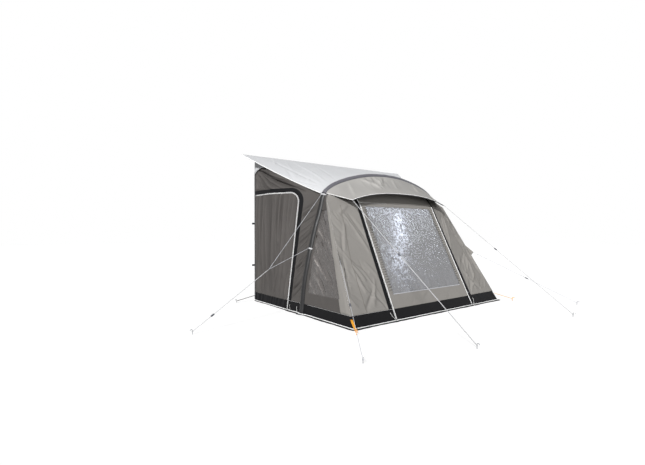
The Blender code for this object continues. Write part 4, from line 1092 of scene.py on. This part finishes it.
y = np.linspace(DOOR_EDGE_Y - SEAM, float(wall_front_edge(0.0)[1]), 14)
beside_door = at(wall_x(y, 0 * y), y, 0)
round_leg = by_beam(FOOT, 0.052, np.linspace(0.04, -0.04, 7))
to_corner = lerp(by_beam(FOOT, WALL_OUT, -off_beam(WALL_OUT)), SEAM_FOOT,
                 np.linspace(0.06, 1, 30)[:, None])
along_front = lerp(SEAM_FOOT, panel_edge(0.0) + [SEAM, 0, 0], np.linspace(0, 1, 30)[1:, None])
wall_foot = np.vstack([beside_door, round_leg, to_corner, along_front]) * [1, 1, 0]
turn = np.concatenate([np.zeros(50), [0.5], np.ones(29)]) * math.pi / 2
door_foot = at(HALF_WIDTH, np.linspace(DOOR_HINGE_Y, DOOR_EDGE_Y + SEAM, 40), 0)
for side, sign in SIDES.items():
    cloth(f"{side}_rear_foot_strip", mirror_x(rear_strip, sign), black_cloth,
          slot="mud_wall_black", nodes=[f"{side}_rear_mud_wall"])
    cloth(f"{side}_front_foot_strip", mirror_x(front_strip, sign), black_cloth,
          slot="mud_wall_black", nodes=[f"{side}_front_mud_wall"])
    skirting(f"{side}_door", door_foot, at([1.0] * 40, 0, 0), f"{side}_door", sign, 0.028)
    skirting(f"{side}_wall", wall_foot, at(np.cos(turn), -np.sin(turn), 0), "awning", sign)
x = np.linspace(-PANEL_HALF_FOOT + SEAM, PANEL_HALF_FOOT - SEAM, 60)
skirting("front_panel", at(x, FRONT_Y, 0), at([0.0] * 60, -1, 0), "front_panel", 1)


# Foam pads in cloth sleeves seal the walls' rear edges against the caravan. Poles press them on, and
# two webbing tabs on each hold the pole.
PAD_HEIGHT, PAD_X, PAD_HALF_WIDTH, PAD_HALF_DEPTH = 2.2, 1.612, 0.0415, 0.0146
TAB_HEIGHTS = {"low": 0.60, "high": 1.30}


def power_circle(turn, power):
    """A cosine whose size is raised to a power, which squares off a round profile."""
    return np.abs(np.cos(turn)) ** power * np.sign(np.cos(turn))


pad_cloth = cloth_finish("pad_cloth", shown(82, 82, 84), rough=0.85)
tab_webbing = cloth_finish("tab_webbing", shown(58, 60, 64), pitch=0.0016, rough=0.7)
z = np.concatenate([[0.0, 0.004, 0.012], np.linspace(0.03, 2.17, 120), [2.188, 2.196, 2.20]])
full = np.maximum(np.clip(np.minimum(z, PAD_HEIGHT - z) / 0.03, 0, 1) ** 0.35, 0.55)
full = full * (1 + 0.012 * np.sin(z * 23) + 0.010 * np.sin(z * 61 + 1))
turn = np.arange(36) / 36 * math.tau
pad_profile = at(PAD_HALF_WIDTH * power_circle(turn, 0.5),
                 PAD_HALF_DEPTH * power_circle(turn - math.pi / 2, 0.6))
pad_path = at(PAD_X, REAR_Y - 0.0150, z)
x = np.linspace(1.630, 1.699, 14)
tab_y = REAR_Y - 0.012 - 0.010 * bell(x - 1.640, 0.012)
for side, sign in SIDES.items():
    pad = sweep(f"{side}_rear_pad_sleeve", mirror_x(pad_path, sign), pad_profile, pad_cloth,
                up=(0, 1, 0), scale=np.minimum(full, 1.0), slot="foam_pad",
                nodes=[f"{side}_rear_pad"])
    for part, height in TAB_HEIGHTS.items():
        sweep(f"{side}_{part}_pole_tab", mirror_x(at(x, tab_y, height), sign),
              strap_profile(0.030, 0.0030), tab_webbing, up=(0, 1, 0), slot="buckle_grey",
              nodes=[f"{side}_rear_pad"])


# Six guys steady the awning: flat webbing from the hood's corners and the sides, thin cord from the
# corner tabs. Each runs through a sliding buckle to a hooked steel peg. The side guys start at a
# cord bridle between the beam's two rings.
GUYS = {
    "left_hood_guy": ((-1.0692, -0.4757, 1.6182), (-1.1596, -2.4442, 0.0403)),
    "left_corner_guy": ((-1.5364, -0.7558, 0.7978), (-2.3622, -2.0574, 0.0384)),
    "left_side_guy": ((-2.1951, -0.0705, 0.6709), (-3.2345, -0.1632, 0.0392)),
    "right_hood_guy": ((1.0694, -0.4757, 1.6183), (1.2174, -2.4462, 0.0402)),
    "right_corner_guy": ((1.5360, -0.7560, 0.7978), (2.2190, -2.1360, 0.0384)),
    "right_side_guy": ((2.1948, -0.0700, 0.6703), (3.0121, -0.0700, 0.0401)),
}
WEBBING_WIDTH, CORD_THICKNESS = 0.016, 0.005
BRIDLE_TOP, BRIDLE_KNOT, BRIDLE_FOOT = np.array([
    (1.2957, -0.0600, 1.7264), (2.19, -0.07, 0.674), (1.5245, -0.0417, 0.9322)])
BRIDLE_TURN = 0.022


def small_loop(name, centre, axis, radius, thick, finish):
    """A ring of cord or webbing round a centre, swept on a circle square to the axis."""
    axis = unit(np.asarray(axis, float))
    first = unit(np.cross(axis, [0.31, 0.12, 0.94]))
    second = np.cross(axis, first)
    turn = np.linspace(0, math.tau, 25)[:-1, None]
    round_it = np.asarray(centre, float) + radius * (np.cos(turn) * first + np.sin(turn) * second)
    return sweep(name, round_it, circle(thick, 8), finish, up=axis, ring=True, slot="rope_grey")


guy_webbing = cloth_finish("guy_webbing", shown(190, 190, 192), pitch=0.0014, rough=0.7)
guy_cord = cloth_finish("guy_cord", shown(196, 198, 204), pitch=0.0010, rough=0.7)
buckle_plastic = moulded("buckle_plastic", shown(70, 72, 80), 0.42, wear=0.2)
peg_steel = Finish("peg_steel", Metallic=1.0)
scuff = peg_steel.noise(120.0, 4.0)
peg_steel.set(Base_Color=peg_steel.mix(scuff, shown(140, 142, 146), shown(198, 200, 203)),
              Roughness=scuff * 0.3 + 0.2)
for name, ends in GUYS.items():
    start, end = np.array(ends)
    path = lerp(start, end, np.linspace(0, 1, 25)[:, None])
    away = unit(end - start)
    web = "corner" not in name
    profile = strap_profile(WEBBING_WIDTH, 0.0016) if web else circle(CORD_THICKNESS / 2, 10)
    woven = guy_webbing if web else guy_cord
    guy = sweep(name + "_line", path, profile, woven, slot="rope_grey", nodes=[name])
    refinish(name + "_adjuster", buckle_plastic)
    refinish(name + "_peg", peg_steel.material)
    fittings = [
        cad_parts[name + "_adjuster"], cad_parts[name + "_peg"],
        small_loop(name + "_peg_loop", end + away * 0.010 + [0, 0, -0.002], (0, 0, 1), 0.0085,
                   0.0018, woven),
        small_loop(name + "_top_loop", start + away * 0.002, np.cross(away, [0.2, 0.9, 0.1]),
                   0.0065, 0.0016, woven),
    ]
for side, sign in SIDES.items():
    top, knot, low = (point * [sign, 1, 1] for point in (BRIDLE_TOP, BRIDLE_KNOT, BRIDLE_FOOT))
    down, up = unit(top - knot), unit(low - knot)
    turn = [knot + way * BRIDLE_TURN for way in (down, (down + up) * 0.22, up)]
    path = np.vstack([lerp(top, turn[0], np.linspace(0, 1, 12)[:-1, None]), through(turn, 4),
                      lerp(turn[2], low, np.linspace(0, 1, 12)[1:, None])])
    bridle = sweep(f"{side}_bridle_cord", path, circle(CORD_THICKNESS / 2, 10), guy_cord,
                   slot="rope_grey", nodes=[f"{side}_side_guy_bridle"])


# Small loops of elastic cord are sewn in at the feet of the zips and of the legs. They hook over
# pegs, and hold the awning's edge down when a door or the front is open.
ELASTICS = {
    "front_zip": [(0.962, -0.010, 0.112), (0.950, -0.016, 0.070), (0.915, -0.020, 0.030),
                  (0.905, -0.018, 0.012), (0.922, -0.014, 0.018)],
    "door_zip": [(1.658, 0.248, 0.100), (1.660, 0.244, 0.060), (1.662, 0.232, 0.026),
                 (1.662, 0.222, 0.014), (1.661, 0.236, 0.022)],
    "leg": [(1.668, 0.046, 0.100), (1.672, 0.044, 0.060), (1.676, 0.030, 0.026),
            (1.676, 0.018, 0.014), (1.674, 0.034, 0.022)],
}
elastic = cloth_finish("elastic_loop", shown(214, 214, 212), pitch=0.0010, rough=0.7)
for side, sign in SIDES.items():
    for part, hook in ELASTICS.items():
        knots = np.array(hook)
        if part == "front_zip":
            knots[:, 1] += front_y(knots[:, 2])
        sweep(f"{side}_{part}_elastic", mirror_x(through(knots, 6), sign), circle(0.0022, 8),
              elastic, up=(0.3, 0.3, 0.9), slot="rope_grey")


# Rubber ladder straps hold the corners down, one hooked peg to each. The front pair is orange and
# the rear pair nearly black.
STRAP_CORNERS = {"front": (1.635, FRONT_Y + 0.054, 0.112), "rear": (1.656, REAR_Y - 0.020, 0.085)}
STRAP_PEGS = {"front": (1.773, REAR_Y - 2.691), "rear": (2.0, REAR_Y - 0.05)}
STRAP_COLUMNS = np.array([-0.014, -0.0135, -0.009, 0.009, 0.0135, 0.014])
RUNG_PITCH, RUNG_SHARE, PEG_EYE_HEIGHT, STRAP_PAST_EYE = 0.020, 0.6, 0.034, 0.006
PEG_HOOK = [(0, 0), (0, 0.045), (0.006, 0.056), (0.016, 0.060), (0.026, 0.054), (0.029, 0.044)]
rubber = {
    "front": moulded("orange_rubber", shown(255, 172, 44), 0.5, wear=0.2),
    "rear": moulded("dark_rubber", shown(60, 52, 48), 0.55, wear=0.2),
}
for side, sign in SIDES.items():
    for part in ("front", "rear"):
        start = np.array(STRAP_CORNERS[part])
        place = np.array([*STRAP_PEGS[part], PEG_EYE_HEIGHT])
        way = unit(place - start)
        length = float(np.linalg.norm(place - start)) + STRAP_PAST_EYE
        level = unit(np.cross([0, 0, 1.0], way))
        starts = np.linspace(0, length, int(length / RUNG_PITCH) + 1)
        rungs = np.sort(np.concatenate([starts, starts[:-1] + starts[1] * RUNG_SHARE]))
        a, b = np.meshgrid(STRAP_COLUMNS, rungs)
        strip = start + way * b[..., None] + level * a[..., None]
        row, column = cells(strip)
        between = (column == 2) & (row % 2 == 1) & (row < row.max() - 1)
        surface(f"{side}_{part}_ladder_strap", mirror_x(strip, sign), rubber[part], 0.0026,
                between, slot="strap_orange", nodes=[f"{side}_{part}_peg_strap"])
        lean = unit((place - start) * [1, 1, 0])
        shaft = through([place * [1, 1, 0] + lean * r + [0, 0, h] for r, h in PEG_HOOK], 4)
        sweep(f"{side}_{part}_strap_peg", mirror_x(shaft, sign), circle(0.004, 10),
              rubber["front"] if part == "front" else peg_steel.material,
              up=np.cross(lean, [0, 0, 1.0]) * [1, sign, 1], slot="steel",
              nodes=[f"{side}_{part}_peg_strap"])


# The studio: a pale floor that keeps the awning's shadow, and an even white sky. One broad key lamp
# shines from the left, a wide weak one fills the front, and the front window mirrors a third.
SKY, BACKDROP = 0.27, (0.72, 0.72, 0.72, 1)


def seen(tree):
    """One for the camera's rays and for mirrored and transmitted ones, and nought for others."""
    rays = tree.nodes.new("ShaderNodeLightPath")
    camera, mirrored, passed = (Wire(tree, rays.outputs[f"Is {kind} Ray"])
                                for kind in ("Camera", "Glossy", "Transmission"))
    return camera.math("MAXIMUM", camera.math("MAXIMUM", camera, mirrored), passed)


def sun(name, toward, strength, angle, colour=(1, 1, 1)):
    """A distant lamp shining from a direction, as wide in the sky as its angle."""
    lamp = bpy.data.lights.new(name, "SUN")
    lamp.energy, lamp.angle, lamp.color = strength, math.radians(angle), colour
    holder = bpy.data.objects.new(name, lamp)
    bpy.context.scene.collection.objects.link(holder)
    holder.rotation_euler = Vector(toward).to_track_quat("Z", "Y").to_euler()


floor_mesh = bpy.data.meshes.new("studio_floor")
floor_mesh.from_pydata([(-30, -30, 0), (30, -30, 0), (30, 30, 0), (-30, 30, 0)], [], [(0, 1, 2, 3)])
floor = bpy.data.objects.new("studio_floor", floor_mesh)
bpy.context.scene.collection.objects.link(floor)
pale = Finish("pale_floor", Base_Color=(0.30, 0.30, 0.30, 1), Roughness=0.9)
pale.set(Emission_Color=pale.mix(seen(pale.tree), (0, 0, 0, 1), BACKDROP), Emission_Strength=1.0)
floor_mesh.materials.append(pale.material)

world = bpy.data.worlds.new("white_sky")
bpy.context.scene.world = world
world.use_nodes = True
back = world.node_tree.nodes["Background"]
back.inputs["Color"].default_value = (1, 1, 1, 1)
plug(world.node_tree, back.inputs["Strength"], seen(world.node_tree) * (1 - SKY) + SKY)

sun("key_lamp", (-0.74, -0.42, 0.52), 3.7, 6)
sun("front_fill", (-0.15, -0.95, 0.12), 0.6, 50)
sun("window_lamp", (0.737, -0.411, 0.537), 0.15, 11, (0.84, 0.91, 1.0))

eye = bpy.data.cameras.new("camera")
eye.lens, eye.sensor_width = 22.006, 36
camera = bpy.data.objects.new("camera", eye)
camera.location = (-4.8075, -4.6443, 1.2074)
camera.rotation_euler = (math.radians(90 - 0.494), 0, math.radians(-37.539))
bpy.context.scene.collection.objects.link(camera)
bpy.context.scene.camera = camera
bpy.context.scene.view_settings.view_transform = "Standard"
